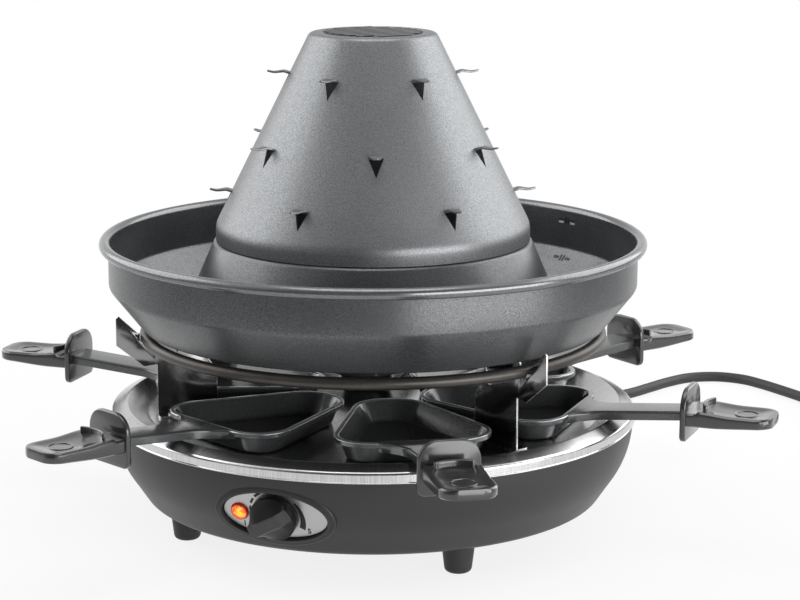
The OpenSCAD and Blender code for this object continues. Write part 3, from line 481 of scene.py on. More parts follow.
def metal(name, dark, light, roughness, grain=1.2, warm=0.0, metallic=1.0):
    """Plain metal with a faintly uneven sheen."""
    finish = Finish(name, Metallic=metallic)
    cloud = finish.noise(size=12, detail=3)
    fine = finish.noise(size=grain)
    finish.set(
        Base_Color=finish.mix(cloud * 0.7 + fine * 0.3, grey(dark, warm), grey(light, warm)),
        Roughness=roughness + 0.16 * fine - 0.08)
    finish.bump(fine, depth=0.02, strength=0.3)
    return finish


def tinted(name, colour, roughness):
    """Plastic or ceramic of one colour, a little cloudy."""
    finish = Finish(name, IOR=1.46)
    dark = tuple(0.72 * part for part in colour[:3]) + (1,)
    cloud = finish.noise(size=5, detail=3)
    finish.set(Base_Color=finish.mix(cloud, dark, colour), Roughness=roughness + 0.15 * cloud - 0.07)
    finish.bump(finish.noise(size=0.8), depth=0.03, strength=0.3)
    return finish


COATINGS = {
    # The rolled rim's coat is glossier, which is real, and lighter grey, which is a painted highlight.
    "pan_coat": (0.065, 0.15, 0.31), "rim_coat": (0.13, 0.22, 0.2, 0.1), "hat_coat": (0.15, 0.31, 0.38),
    # The groove coat is a darker copy of the hat's coating: painted shade in the hat's top grooves.
    # The mini pans' lip coat is a lighter copy of their coating: a painted highlight along the lips.
    "groove_coat": (0.02, 0.05, 0.5), "mini_coat": (0.05, 0.1, 0.2, 0.15), "mini_lip": (0.3, 0.46, 0.22, 0.1)}
PLASTICS = {
    "shell_plastic": (0.019, 0.028, 0.44), "foot_plastic": (0.018, 0.026, 0.55),
    "grip_plastic": (0.013, 0.022, 0.3), "knob_plastic": (0.004, 0.008, 0.33, 0.5),
    # The knob bar's finish is a lighter copy of the knob's plastic: painted light on the bar's top.
    "knob_bar": (0.028, 0.042, 0.33, 0.5), "plug_plastic": (0.016, 0.024, 0.5),
    "cord_rubber": (0.02, 0.034, 0.55, 0.4), "tie_plastic": (0.008, 0.014, 0.4, 0.4),
    # The black print finish also serves the pan's fill marks, where it is painted shade.
    "print_black": (0.003, 0.006, 0.5, 0.3)}
METALS = {
    # The stands' edge finish is a lighter steel: a painted highlight on the rounded cut edges.
    "stand_zinc": (0.2, 0.32, 0.15, 2.0), "stand_edge": (0.6, 0.75, 0.28), "screw_steel": (0.45, 0.6, 0.3),
    "shaft_steel": (0.4, 0.55, 0.26), "pin_nickel": (0.55, 0.68, 0.22), "brass": (0.42, 0.55, 0.32),
    "tube_steel": (0.045, 0.085, 0.4, 1.6, 0.08, 0.75), "plate_silver": (0.42, 0.5, 0.36, 0.5)}
TINTS = {
    # The pale mark finish is a painted highlight on the pan's fill marks.
    "mark_pale": ((0.5, 0.5, 0.5, 1), 0.4), "ceramic": ((0.68, 0.63, 0.54, 1), 0.5),
    "thermostat_brown": ((0.2, 0.11, 0.06, 1), 0.45), "holder_white": ((0.6, 0.58, 0.54, 1), 0.45),
    "wire_brown": ((0.12, 0.05, 0.02, 1), 0.5), "wire_black": ((0.02, 0.02, 0.02, 1), 0.5),
    "wire_blue": ((0.03, 0.1, 0.4, 1), 0.5), "wire_earth": ((0.3, 0.42, 0.03, 1), 0.5)}
finishes = {}
for make, table in ((coating, COATINGS), (moulded, PLASTICS), (metal, METALS), (tinted, TINTS)):
    finishes.update({name: make(name, *values) for name, values in table.items()})
finishes["hat_coat"].set(Specular_Tint=grey(0.7))
finishes["mini_coat"].set(Metallic=0.4, Coat_Weight=0.5, Coat_Roughness=0.1)
finishes["grip_plastic"].set(Coat_Weight=1.0, Coat_Roughness=0.12)
finishes["knob_plastic"].set(IOR=1.3)
brass = finishes["brass"]
brass.set(Base_Color=brass.mix(brass.noise(size=8), (0.52, 0.36, 0.12, 1), (0.7, 0.5, 0.2, 1)))


def brushed_tray():
    """Stainless steel, brushed across the rim, so the fine streaks run outwards from the axis."""
    finish = Finish("tray_brushed", Metallic=1)
    ways = finish.vector("NORMALIZE", finish.vector("MULTIPLY", finish.place(), (1, 1, 0)))
    streak = finish.noise(size=0.0024, detail=3, vector=ways)
    finish.set(
        Base_Color=finish.mix(streak.above(0.25, 0.75), grey(0.52), grey(0.7)),
        Roughness=0.18 + 0.1 * streak)
    finish.bump(streak, depth=0.006, strength=0.1)
    return finish


finishes["tray_brushed"] = brushed_tray()

# Mains cord: down from the rear wall, along the table, and the rest in a coil beside its plug

CORD_D = 7
CORD_EXIT_Z = 36
FLOOR_Z = CORD_D / 2
IN_GRIP = [(0, out, CORD_EXIT_Z) for out in (124, 145, 165, 184)]
DROP = [
    (0, 192, CORD_EXIT_Z - 0.5), (2, 206, CORD_EXIT_Z - 4), (8, 221, CORD_EXIT_Z - 13),
    (18, 240, FLOOR_Z + 10), (30, 259, FLOOR_Z + 3)]
ON_TABLE = [
    (43, 279), (56, 299), (68, 320), (76, 340), (84, 360), (95, 378), (112, 388), (131, 387), (147, 378),
    (163, 366), (179, 353), (196, 338)]
LEAD_ROUTE = IN_GRIP + DROP + [(x, y, FLOOR_Z) for x, y in ON_TABLE]
COIL_TURNS = 3
COIL_PITCH = CORD_D + 0.7
COIL_MID_R = 40
COIL_Z = CORD_D / 2 + 1.2
COIL_START = Vector((215, 321))
COIL_HEADING = radians(-42)
COIL_EASE = 20
COIL_STEP = 7.5
HALF_TURNS = COIL_TURNS * 180
COIL_INNER_R = COIL_MID_R - COIL_PITCH * COIL_TURNS / 4
COIL_OUTER_R = COIL_INNER_R + COIL_PITCH * COIL_TURNS / 2
COIL_CENTRE = COIL_START + COIL_OUTER_R * Vector((-sin(COIL_HEADING), cos(COIL_HEADING)))
HEADING = Vector((cos(COIL_HEADING), sin(COIL_HEADING), 0))
PLUG_R = 18
PLUG_LEN = 44
PLUG_Z = PLUG_R + 0.2
TAIL_LEN = 62
LEAD_STEPS = 6
TAIL_STEPS = 12


def between(a, b, c, d, t):
    """A point on the smooth curve from b to c, with a before them and d after."""
    span = (c - b).length
    leave = (c - a) * span / ((b - a).length + span)
    reach = (d - b) * span / ((d - c).length + span)
    return b.lerp(c, eased(t)) + t * (1 - t) * ((1 - t) * leave - t * reach)


def smooth(points, steps):
    """A smooth curve through given points."""
    last = len(points) - 1
    curve = [
        between(points[max(i - 1, 0)], points[i], points[i + 1], points[min(i + 2, last)], k / steps)
        for i in range(last) for k in range(steps)]
    return curve + [points[last]]


def coil_point(angle):
    """In along the lower layer, up a layer where the spiral reverses, out along the upper one."""
    radius = COIL_INNER_R + COIL_PITCH * sqrt((angle - HALF_TURNS) ** 2 + COIL_EASE ** 2) / 360
    turn = COIL_HEADING + radians(angle - 90)
    rise = COIL_PITCH * eased((angle - HALF_TURNS + 90) / 180)
    return Vector((COIL_CENTRE.x + radius * cos(turn), COIL_CENTRE.y + radius * sin(turn), COIL_Z + rise))


coil = [coil_point(COIL_STEP * i) for i in range(round(COIL_TURNS * 360 / COIL_STEP) + 1)]
lead_end = [coil[0] - HEADING * CORD_D * 2, coil[0] - HEADING * CORD_D]
lead = smooth(vectors(LEAD_ROUTE) + lead_end, LEAD_STEPS)
tail_start = coil[-1] + HEADING * CORD_D
tail_run = TAIL_LEN - 2 * CORD_D
tail_rise = Vector((0, 0, PLUG_Z - tail_start.z))
tail = [
    tail_start + HEADING * (CORD_D + tail_run * i / TAIL_STEPS) + tail_rise * eased(i / TAIL_STEPS)
    for i in range(TAIL_STEPS + 1)]
plug_start = tail_start + HEADING * TAIL_LEN + tail_rise
cord_path = lead + coil + [tail_start] + tail + [plug_start]

at_plug = Matrix.Translation(plug_start) @ Matrix.Rotation(COIL_HEADING, 4, "Z") @ about("Y", 90)
GROOVES = [31.5, 35, 38.5]
plug_side = [(PLUG_R, 28, 6)]
for groove in GROOVES:
    plug_side += [(PLUG_R, groove - 0.9, 0.3), (PLUG_R - 0.8, groove, 0.4), (PLUG_R, groove + 0.9, 0.3)]
plug_line = bent(
    [(0, 0, 0), (5, 0, 0.6), (5.2, 4, 0), (4.7, 4.6, 0.2), (4.7, 5.4, 0.2), (5.3, 6, 0), (5.6, 8.4, 0),
     (5, 9, 0.2), (5, 9.8, 0.2), (5.9, 10.4, 0), (6.5, 14, 4)] + plug_side
    + [(PLUG_R, PLUG_LEN, 1.5), (0, PLUG_LEN, 0)])
plug = placed(turned(plug_line, 96), at_plug)
plug = finished(plug, "plug_moulding", "plug_plastic", "plug_plastic", "base", "plug_body")
PIN_R = 2.4
PIN_ASIDE = 9.5
pin_line = bent([
    (0, 34, 0), (PIN_R, 34, 0), (PIN_R, 53, 0), (2.1, 53.3, 0.2), (PIN_R, 53.6, 0), (PIN_R, 63, 2.3),
    (0, 63, 0)])
pins = repeated(turned(pin_line, 32), [at_plug @ shift(0, side * PIN_ASIDE, 0) for side in (-1, 1)])
pins = finished(joined(*pins), "plug_pin_pair", "pin_nickel", "screw_steel", "base", "plug_pins")

TIE_T = 0.8
TIE_HALF_W = 4.5
TIE_BEND = 2.4
BUNDLE_GAP = 0.8
BUNDLE_IN = COIL_INNER_R - CORD_D / 2 - BUNDLE_GAP
BUNDLE_OUT = COIL_OUTER_R + CORD_D / 2 + BUNDLE_GAP
BUNDLE_H = COIL_PITCH + CORD_D + BUNDLE_GAP
at_tie = shift(*COIL_CENTRE, 0) @ about("Z", 30)


def tie_loop(grow, aside):
    """Rounded loop of the band, grown by its thickness, at a distance aside."""
    low, high = BUNDLE_IN - grow, BUNDLE_OUT + grow
    bottom, top = TIE_T - grow, TIE_T + BUNDLE_H + grow
    return [Vector((x, aside, z)) for x, z in boxed(low, bottom, high, top, TIE_BEND + grow)]


tie_rows = [tie_loop(grow, side * TIE_HALF_W) for grow, side in ((TIE_T, -1), (TIE_T, 1), (0, 1), (0, -1))]
tie = placed(softened(skin(tie_rows + tie_rows[:1], caps=False), 0.2), at_tie)
tie = finished(tie, "tie_band", "tie_plastic", "tie_plastic", "base", "cord_tie")

cord_line = bpy.data.curves.new("mains_cord", "CURVE")
cord_line.dimensions = "3D"
cord_line.bevel_depth = CORD_D / 2 * MM
cord_line.bevel_resolution = 6
cord_line.use_fill_caps = True
spline = cord_line.splines.new("POLY")
spline.points.add(len(cord_path) - 1)
for knot, point in zip(spline.points, cord_path):
    knot.co = (*(point * MM), 1)
cord = bpy.data.objects.new("mains_cord", cord_line)
bpy.context.collection.objects.link(cord)
cord_line.materials.append(finishes["cord_rubber"].material)
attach(cord, "base")
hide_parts("cord_lead", "cord_coil", "cord_tail")
cord_path[0] * MM
sum((b - a).length for a, b in zip(cord_path, cord_path[1:])) * MM

# Tapered cord grip in the rear wall

GLAND = shift(0, 0, CORD_EXIT_Z) @ about("X", -90)
SLEEVE_BORE = 3.7
SLEEVE_HEAD = 7
SLEEVE_NECK = 5.3
SLEEVE_RIBS = 6
SLEEVE_PITCH = 4.4
SLEEVE_FROM = 153
SLEEVE_TO = 183
sleeve_line = [
    (SLEEVE_BORE, 129, 0), (SLEEVE_HEAD, 129, 0.4), (SLEEVE_HEAD, 131, 0), (SLEEVE_NECK, 131, 0),
    (SLEEVE_NECK, 149, 0), (SLEEVE_HEAD, 149, 0.4), (SLEEVE_HEAD, SLEEVE_FROM, 1)]
for i in range(SLEEVE_RIBS):
    start = SLEEVE_FROM + 2 + SLEEVE_PITCH * i
    wide = 6 - 1.3 * (start - SLEEVE_FROM) / (SLEEVE_TO - SLEEVE_FROM)
    sleeve_line += [
        (wide, start, 0.3), (wide - 0.05, start + 2.6, 0.3),
        (wide - 0.9, start + 3.1, 0.2), (wide - 0.9, start + 3.9, 0.2)]
sleeve_line += [(4.75, SLEEVE_TO - 1.6, 0.3), (4.7, SLEEVE_TO, 0.6), (SLEEVE_BORE, SLEEVE_TO, 0)]
cord_grip = placed(turned(bent(sleeve_line, True), 64), GLAND)
finished(cord_grip, "cord_grip_ribbed", "cord_rubber", "cord_rubber", "base", "cord_grip")

# Housing: a moulded bowl with the panel's surround

FOOT_H = 16.5
BASE_R = 149.6
HOUSING_TOP = 62.4
HOUSING_WALL = 2.6
CREASE = Vector((139, 30))
BULGE = Vector((149.3, 44))
WALL_STEPS = 16


def wall_curve(t):
    """A point of the side wall's curve, from 0 at the crease to 1 at the top."""
    return (1 - t) * (1 - t) * CREASE + 2 * t * (1 - t) * BULGE + t * t * Vector((BASE_R, HOUSING_TOP))


PANEL = shift(0, -141.496, 40) @ about("X", 108)
PLATE_HALF_W = 30
PLATE_HALF_H = 14
LAMP_X = -20.5


def oval(grow, height, count=180):
    """Outline of the plate, grown all round, at a height over the plate's face."""
    half_w, half_h = PLATE_HALF_W + grow, PLATE_HALF_H + grow
    turns = [2 * pi * k / count for k in range(count)]
    return [Vector((half_w * cos(turn), half_h * sin(turn), height)) for turn in turns]


def panel_holes():
    """Tools for the holes of the shaft and the lamp in the control panel."""
    return rod(5, -9, 3), placed(rod(5.2, -9, 3), shift(LAMP_X, 0, 0))


house_line = bent([(0, FOOT_H, 0), (130, FOOT_H, 7), (*CREASE, 0)])
house_line += [wall_curve((i + 1) / WALL_STEPS) for i in range(WALL_STEPS)]
house_inside = shifted(house_line, HOUSING_WALL)
house_inside[0].x = 0
house_lip = vectors([(148.7, HOUSING_TOP), (148.7, 64.5), (148.4, 64.8), (147.3, 64.8), (147, 64.5)])
housing = turned(divided(house_line, 12) + house_lip + divided(house_inside[::-1], 12))
POST_PLACES = [outward(turn) @ shift(84, 0, 0) for turn in (20, 140, 260)]
POST_R = 5
POST_BORE = 2.1
VENTS = 7
VENT_PITCH = 12
tools = [placed(skin([oval(4.4, -3), oval(4.4, 40)]), PANEL), placed(rod(7.4, 120, 170), GLAND)]
for i in range(VENTS):
    vent = slab(boxed(-2, -22, 2, 22, 1.8), flat(10), (0, 0, 15))
    tools.append(placed(vent, shift(VENT_PITCH * (i - VENTS // 2), 40, 0)))
tools += [placed(rod(3.9, 10, FOOT_H + 1.6), place) for place in POST_PLACES]
carved(housing, *tools)
post_line = bent([
    (POST_BORE, 19, 0), (6.4, 19, 0), (POST_R, 22, 1.5), (POST_R, 60.5, 0.4), (POST_BORE, 60.5, 0)], True)
posts = [placed(turned(post_line, 32), place) for place in POST_PLACES]
gland = placed(turned(boxed(5.5, 131, 7.5, 149, 0, 0.4, 0.5, 0), 48), GLAND)
SURROUND = [
    (4.5, -3.4), (4.5, 0.6), (4.2, 1.1), (3.7, 1.45), (3.45, 1.5), (3.35, 1.25), (3.25, 1.5), (2.7, 1.85),
    (2.45, 1.9), (2.35, 1.65), (2.25, 1.95), (1.6, 2.25), (1.0, 2.35), (0.6, 2.2), (0.4, 1.8), (0.35, 1.2),
    (0.35, -0.8)]
surround = skin([oval(grow, height) for grow, height in SURROUND])
carved(surround, *panel_holes())
housing = joined(housing, placed(surround, PANEL), gland, *posts)
finished(housing, "housing_bowl", "shell_plastic", "housing_plastic", "base", "base_housing", smooth=28)

# Feet

foot_line = bent([(0, 0, 0), (7.25, 0, 3), (9.25, FOOT_H, 0), (0, FOOT_H, 0)])
foot_places = [outward(turn) @ shift(114.5, 0, 0) for turn in (45, 135, 225, 315)]
for i, foot in enumerate(repeated(turned(foot_line, 48), foot_places), 1):
    finished(foot, f"foot_tapered_{i}", "foot_plastic", "foot_plastic", "base", f"foot_{i}")

# Steel tray

TRAY_Z = 64.5
LEG_TURN = 240
RING_R = 130
RING_Z = 110.5
BEND_R = 10
HALF_GAP = degrees(asin(23 / RING_R))
STAND_TURNS = [60, 180, 300]
RIVET_R = 1.7
RIVET_PLACES = [shift(out, 4.6, 0) for out in (98, 116)]
HOLE_LOW = 55
HOLE_HIGH = 75


def leg_place(side):
    """Where a leg of the heating ring stands, on either side of the ring's gap."""
    return outward(LEG_TURN + side * HALF_GAP) @ shift(RING_R, -side * BEND_R, 0)


tray_line = bent([
    (0, TRAY_Z, 0), (129.5, TRAY_Z, 6), (141.6, TRAY_Z + 6.7, 2.4), (150.2, TRAY_Z + 3.3, 2),
    (150.2, 62.9, 0.2), (150.7, 62.6, 0.2), (150.7, 62.2, 0)])
tray = turned(sheet_section(divided(tray_line, 10), -0.8))
tools = [placed(rod(5.4, HOLE_LOW, HOLE_HIGH), leg_place(side)) for side in (-1, 1)]
tools += [placed(rod(1.9, HOLE_LOW, HOLE_HIGH), place) for place in POST_PLACES]
for turn in STAND_TURNS:
    tools += [placed(rod(RIVET_R, HOLE_LOW, HOLE_HIGH), outward(turn) @ place) for place in RIVET_PLACES]
carved(tray, *tools)
finished(tray, "tray_pressed", "tray_brushed", "tray_steel", "base", "steel_tray", smooth=25)

# Stands: a folded sheet each, with a cradle for the heating ring

STAND_T = 1.2
STAND_IN = 90
STAND_FOOT = 124
STAND_TOP = 116
EDGE_W = 1.3
CRADLE_R = 3.6
TONGUE_R = 4.5
TONGUE_W = 5


def strip(mesh, face):
    """Tells whether a face is about as narrow as the sheet is thick, as its cut edges are."""
    places = [mesh.vertices[i].co for i in face.vertices]
    return 2 * face.area < EDGE_W * sum((place - places[i - 1]).length for i, place in enumerate(places))


stand_line = vectors([
    (STAND_IN, TRAY_Z), (STAND_FOOT, TRAY_Z), (STAND_FOOT, 94.5), (131.5, 93.5), (147, 106), (147, 121.5),
    (145.5, 123), (134.6, 112.7), (133.6, 112.7)])
stand_line += arc((RING_R, RING_Z), CRADLE_R, 0, -180)
stand_line += vectors([
    (126.4, 114.1), (125.9, 114.1), (125.9, STAND_TOP), (104, STAND_TOP), (100, 104), (STAND_IN, 90)])
blade = slab(stand_line, upright(-STAND_T / 2), (0, STAND_T, 0))
flange_line = boxed(STAND_IN, -STAND_T / 2, STAND_FOOT, 8.6, 0, 0, 2, 2)
flange = slab(flange_line, flat(TRAY_Z), (0, 0, STAND_T))
carved(flange, *[placed(rod(RIVET_R, HOLE_LOW, HOLE_HIGH), place) for place in RIVET_PLACES])
ear_line = bent([
    (STAND_T / 2, 101, 0), (STAND_T / 2, STAND_TOP, 0), (-12.6, STAND_TOP, 1.5), (-12.6, 101, 4)], True)
ear = slab(ear_line, facing(112), (STAND_T, 0, 0))
tongue_line = arc((RING_R, RING_Z), TONGUE_R, -168, 156) + arc((RING_R, RING_Z), CRADLE_R, -12, -156)
tongue = slab(tongue_line, upright(-TONGUE_W / 2), (0, TONGUE_W, 0))
stand = softened(joined(blade, flange, ear, tongue), 0.18)
# Faces as narrow as the sheet is thick get a lighter steel: a painted highlight on the cut edges.
stand_edges = [strip(stand.data, face) for face in stand.data.polygons]
stands = repeated(stand, [outward(turn) for turn in STAND_TURNS])
for name, stand in zip(["right", "rear", "left"], stands):
    finished(stand, f"stand_sheet_{name}", "stand_zinc", "stand_steel", "base", f"stand_{name}")
    trimmed(stand, "stand_edge", stand_edges)

# Heating ring

RING_TUBE_R = 3.4
RING_STEPS = 180
BEND_STEPS = 12
LEG_END = Vector((0, 0, 38.5))


def ring_bend(side, share):
    """A point of the bend on one side of the gap, from 0 at the leg to 1 at the ring."""
    angle = pi / 2 * share
    height = RING_Z - BEND_R + BEND_R * sin(angle)
    return outward(LEG_TURN + side * HALF_GAP) @ Vector((RING_R, -side * BEND_R * cos(angle), height))


ring_start = LEG_TURN + HALF_GAP
ring_sweep = 360 - 2 * HALF_GAP
ring_path = [leg_place(1) @ LEG_END]
ring_path += [ring_bend(1, i / BEND_STEPS) for i in range(BEND_STEPS + 1)]
ring_path += [
    outward(ring_start + ring_sweep * i / RING_STEPS) @ Vector((RING_R, 0, RING_Z))
    for i in range(1, RING_STEPS)]
ring_path += [ring_bend(-1, 1 - i / BEND_STEPS) for i in range(BEND_STEPS + 1)]
ring_path.append(leg_place(-1) @ LEG_END)
ring = tube(ring_path, RING_TUBE_R)
crimp = turned(boxed(3.2, -2.5, 3.7, 2.5, 0, 0.3, 0.3, 0), 32)
crimp_places = []
for side in (-1, 1):
    crimp_places.append(leg_place(side) @ shift(0, 0, RING_Z - BEND_R))
    crimp_places.append(outward(LEG_TURN + side * HALF_GAP) @ shift(RING_R, 0, RING_Z) @ about("X", 90))
ring = joined(ring, *repeated(crimp, crimp_places))
finished(ring, "heating_tube", "tube_steel", "heater_tube", "base", "heating_ring")

# Control panel: plate with its marks, knob and lamp

plate = skin([oval(-0.3, -0.8), oval(-0.3, -0.1), oval(-0.45, 0)])
carved(plate, *panel_holes())
placed(plate, PANEL)
finished(plate, "plate_oval", "plate_silver", "plate_aluminium", "base", "control_plate", smooth=25)

PRINT_LOW = -0.02
PRINT_T = 0.07


def mark(start, end, inner, outer, inner_end=None, outer_end=None):
    """A printed band along the scale between two angles, growing from one width to another."""
    steps = max(2, ceil(abs(end - start) / 4))
    near, far = [], []
    for i in range(steps + 1):
        t = i / steps
        turn = radians(start + (end - start) * t)
        low = inner + ((inner_end or inner) - inner) * t
        high = outer + ((outer_end or outer) - outer) * t
        near.append((low * cos(turn), low * sin(turn)))
        far.append((high * cos(turn), high * sin(turn)))
    return slab(near + far[::-1], flat(PRINT_LOW), (0, 0, PRINT_T))


def digit(text, x, y, size):
    """A printed figure on the plate."""
    bpy.ops.object.select_all(action="DESELECT")
    bpy.ops.object.text_add()
    piece = bpy.context.object
    piece.data.body = text
    piece.data.size = size
    piece.data.align_x = piece.data.align_y = "CENTER"
    piece.data.extrude = PRINT_T / 2
    piece.data.offset = 0.14
    bpy.ops.object.convert(target="MESH")
    return placed(bpy.context.object, shift(x, y, PRINT_LOW + PRINT_T / 2))


marks = [
    mark(136, 119, 14, 15.6), mark(156, 142, 14, 15.3), mark(174, 163, 14, 15), mark(191, 182, 14, 14.8),
    mark(36, -26, 13.9, 15.3, 14.3, 17.9), digit("1", -18.6, -7.6, 4), digit("5", 18.4, -8.2, 4.4)]
finished(placed(joined(*marks), PANEL), "plate_marks", "print_black", "knob_plastic", "base")

KNOB_LIFT = 0.8
KNOB_DISC = 5
KNOB_TOP = 10.8
KNOB_R = 12.9
KNOB_DROP = 3.6
BAR_HALF = 3
BAR_FLARE = 0.8
FLANK_STEPS = 14
FLANK_HOLLOW = 1.3
KNOB_ROWS = 30
NOSE_HALF = 3.6
POINTER = 209


def knob_row(along):
    """Section across the knob's bar: a waisted ridge between sloping flanks, lower behind the pointer."""
    half = sqrt(KNOB_R * KNOB_R - along * along)
    ridge = min(BAR_HALF + BAR_FLARE * (along / KNOB_R) ** 2, 0.9 * half)
    rise = KNOB_TOP - KNOB_DISC - KNOB_DROP * eased((-along - 5) / 8)
    flank = []
    for k in range(FLANK_STEPS + 1):
        height = KNOB_DISC + rise * (k / FLANK_STEPS) ** FLANK_HOLLOW
        flank.append(Vector((along, (half - ridge) * k / FLANK_STEPS - half, height)))
    return flank + opposite(flank)


knob_steps = [sin(pi / 2 * i / KNOB_ROWS) for i in range(-KNOB_ROWS, KNOB_ROWS + 1)]
knob = skin([knob_row(KNOB_R * 0.988 * step) for step in knob_steps], ring=False)
opened(knob)
bpy.ops.mesh.select_all(action="DESELECT")
bpy.ops.mesh.select_mode(type="EDGE")
bpy.ops.mesh.select_non_manifold()
bpy.ops.mesh.extrude_edges_move()
bpy.ops.object.mode_set(mode="OBJECT")
for vertex in knob.data.vertices:
    if vertex.select:
        vertex.co.z = KNOB_LIFT
opened(knob)
closed(knob, caps=True)
knob = softened(knob, 0.5, 3, 50)
nose_line = bent([(6, 2.7, 0), (13.2, 2.7, 0.5), (12.4, 5.6, 0.8), (10.8, 9.6, 1.2), (6, 10.7, 0)], True)
nose = softened(slab(nose_line, upright(-NOSE_HALF), (0, 2 * NOSE_HALF, 0)), 0.5, 3)
knob = joined(knob, nose)
# The bar's upward faces get a lighter plastic: painted light on the top of the bar.
bar_top_painted_light_faces = [
    face.normal.z > 0.6 and face.center.z > KNOB_DISC + 1.5 and abs(face.center.y) < NOSE_HALF
    for face in knob.data.polygons]
placed(knob, PANEL @ about("Z", POINTER))
finished(knob, "knob_moulded", "knob_plastic", "knob_plastic", "knob", "control_knob")
trimmed(knob, "knob_bar", bar_top_painted_light_faces)

lamp_centre = PANEL @ Vector((LAMP_X, 0, 0.5))
lamp_finish = Finish("lamp_glow", Roughness=0.12, IOR=1.5, Emission_Strength=1.2)
away = lamp_finish.vector("DISTANCE", lamp_finish.place(), lamp_centre * MM, output="Value")
facets = lamp_finish.node("ShaderNodeTexVoronoi", {"feature": "F1"}, {
    "Vector": lamp_finish.place(), "Scale": 1 / (1.1 * MM)}, "Color")
sparkle = lamp_finish.node("ShaderNodeSeparateColor", None, {0: facets})
heart = 1 - (away + sparkle * 0.0026).above(0.0024, 0.0056)
glow = lamp_finish.mix(heart, (0.66, 0.03, 0.003, 1), (1.0, 0.62, 0.05, 1))
# The outer ring of the lamp cap is darkened in its colour and its glow: a painted shadow round the lamp.
rim = away.above(0.0039, 0.0047)
lamp_finish.set(
    Base_Color=lamp_finish.mix(rim, (0.5, 0.08, 0.01, 1), (0.1, 0.005, 0.003, 1)),
    Emission_Color=lamp_finish.mix(rim, glow, (0.12, 0.006, 0.002, 1)))
finishes["lamp_glow"] = lamp_finish
lamp_line = bent([(0, -3.4, 0), (5, -3.4, 0), (5, 1.2, 0.6), (4, 1.6, 0.3), (3.6, 1.2, 0.2), (0, 2.6, 0)])
lamp = placed(turned(lamp_line, 12), PANEL @ shift(LAMP_X, 0, 0))
finished(lamp, "lamp_cap", "lamp_glow", "lamp_amber", "base", "lamp_lens", smooth=18)

# Broth pan: one pressed sheet, from the rolled rim to the neck inside the hat

PAN_WALL = 1.2
PAN_R = 150.3
PAN_FLOOR = 116.1
PAN_LEDGE = 162.9
ROLL = Vector((152.25, 163))
ROLL_R = 3.15
ROLL_SWEEP = 255
pan_line = bent([
    (PAN_R, ROLL.y, 0), (PAN_R, 139.6, 5), (131.8, PAN_FLOOR, 4), (109.8, PAN_FLOOR, 4),
    (89.4, PAN_LEDGE, 1.8), (86.4, PAN_LEDGE, 1.8), (80.5, 176.1, 0)])
pan_inside = shifted(pan_line, -PAN_WALL)
roll_out = arc(ROLL, ROLL_R, 180 - ROLL_SWEEP, ROLL_SWEEP)
roll_in = arc(ROLL, ROLL_R - PAN_WALL, 180, -ROLL_SWEEP)
pan_section = divided(pan_line, 8) + divided(pan_inside[::-1], 8)[:-1] + roll_out[::-1] + roll_in[::-1][:-1]
pan = turned(pan_section, 256)

FILL_TURN = 149
FILL_T = 0.22
FILL_ROOT = 0.3
FILL_DASHES = [(-7, -2.8, -0.7, 0.7), (2.8, 7, -0.7, 0.7)]
FILL_DOTS = [(-1.8, -0.6, -1.6, 1.6), (0.6, 1.8, -1.6, 1.6)]


def fill_mark(bars, level, radius, lean):
    """Bars (start, end, low, high) on the pan's inside, as a measure; they paint the light and shade of
    pressed marks: dark bars as painted shade, pale bars as painted highlight.
    """
    made = []
    near, far = radius - FILL_T, radius + FILL_ROOT
    for start, end, low, high in bars:
        section = vectors([
            (near + lean * low, level + low), (far + lean * low, level + low),
            (far + lean * high, level + high), (near + lean * high, level + high)])
        bar = turned(section, 6, degrees((end - start) / radius))
        made.append(placed(bar, outward(FILL_TURN + degrees(end / radius))))
    return made


# The dark bars stand for the shaded upper walls of the pressed fill marks: painted shade.
upper_marks = fill_mark(FILL_DASHES + FILL_DOTS, 157.9, PAN_R - PAN_WALL, 0)
lower_marks = fill_mark(FILL_DASHES + FILL_DOTS, 135.2, 145.32, 0.787)
fill_marks = joined(*upper_marks, *lower_marks)
finished(fill_marks, "fill_marks", "print_black", "pan_coating", "broth_pan")
# Pale bars under the upper dashes stand for the lit lower walls of the pressed marks: a painted highlight.
fill_lit_edge_highlights = joined(*fill_mark(FILL_DASHES, 156.4, PAN_R - PAN_WALL, 0))
finished(fill_lit_edge_highlights, "fill_mark_painted_highlights", "mark_pale", "pan_coating", "broth_pan")
pan_places = [Vector((face.center.xy.length, face.center.z)) for face in pan.data.polygons]
finished(pan, "broth_pan_pressed", "pan_coat", "pan_coating", "broth_pan", "broth_pan", smooth=30)
# The rolled rim gets a glossier coat, which is real, in a lighter grey, which is a painted highlight.
trimmed(pan, "rim_coat", [(place - ROLL).length < ROLL_R + 0.15 for place in pan_places])

# Hat: a cone with three rows of punched spikes and a ribbed top

HAT_Z = 164.4
HAT_H = 117.3
HAT_TOP_R = 35.7
HAT_FOOT_R = 89.3
HAT_FOOT_H = 8.6
HAT_WALL = 1.2
HAT_SLOPE = (HAT_FOOT_R - HAT_TOP_R) / (HAT_H - HAT_FOOT_H)
RIB_H = 0.6
TOP_Z = HAT_Z + HAT_H - RIB_H
hat_line = bent([
    (0, TOP_Z, 0), (HAT_TOP_R, TOP_Z, 3.4), (HAT_FOOT_R, HAT_Z + HAT_FOOT_H, 13), (HAT_FOOT_R, HAT_Z, 0)])
hat = turned(sheet_section(divided(hat_line, 5), -HAT_WALL), 240)
SPIKE_ROWS = [(94.7, 52.7), (56.2, 22.7), (27.7, 52.7)]
SPIKE_HALF = 4.15
spike_places = []
for height, first in SPIKE_ROWS:
    across_cone = shift(HAT_TOP_R + HAT_SLOPE * (HAT_H - height), 0, HAT_Z + height)
    lean = Matrix.Rotation(-atan(HAT_SLOPE), 4, "Y")
    spike_places += [outward(first + 60 * k) @ across_cone @ lean for k in range(6)]
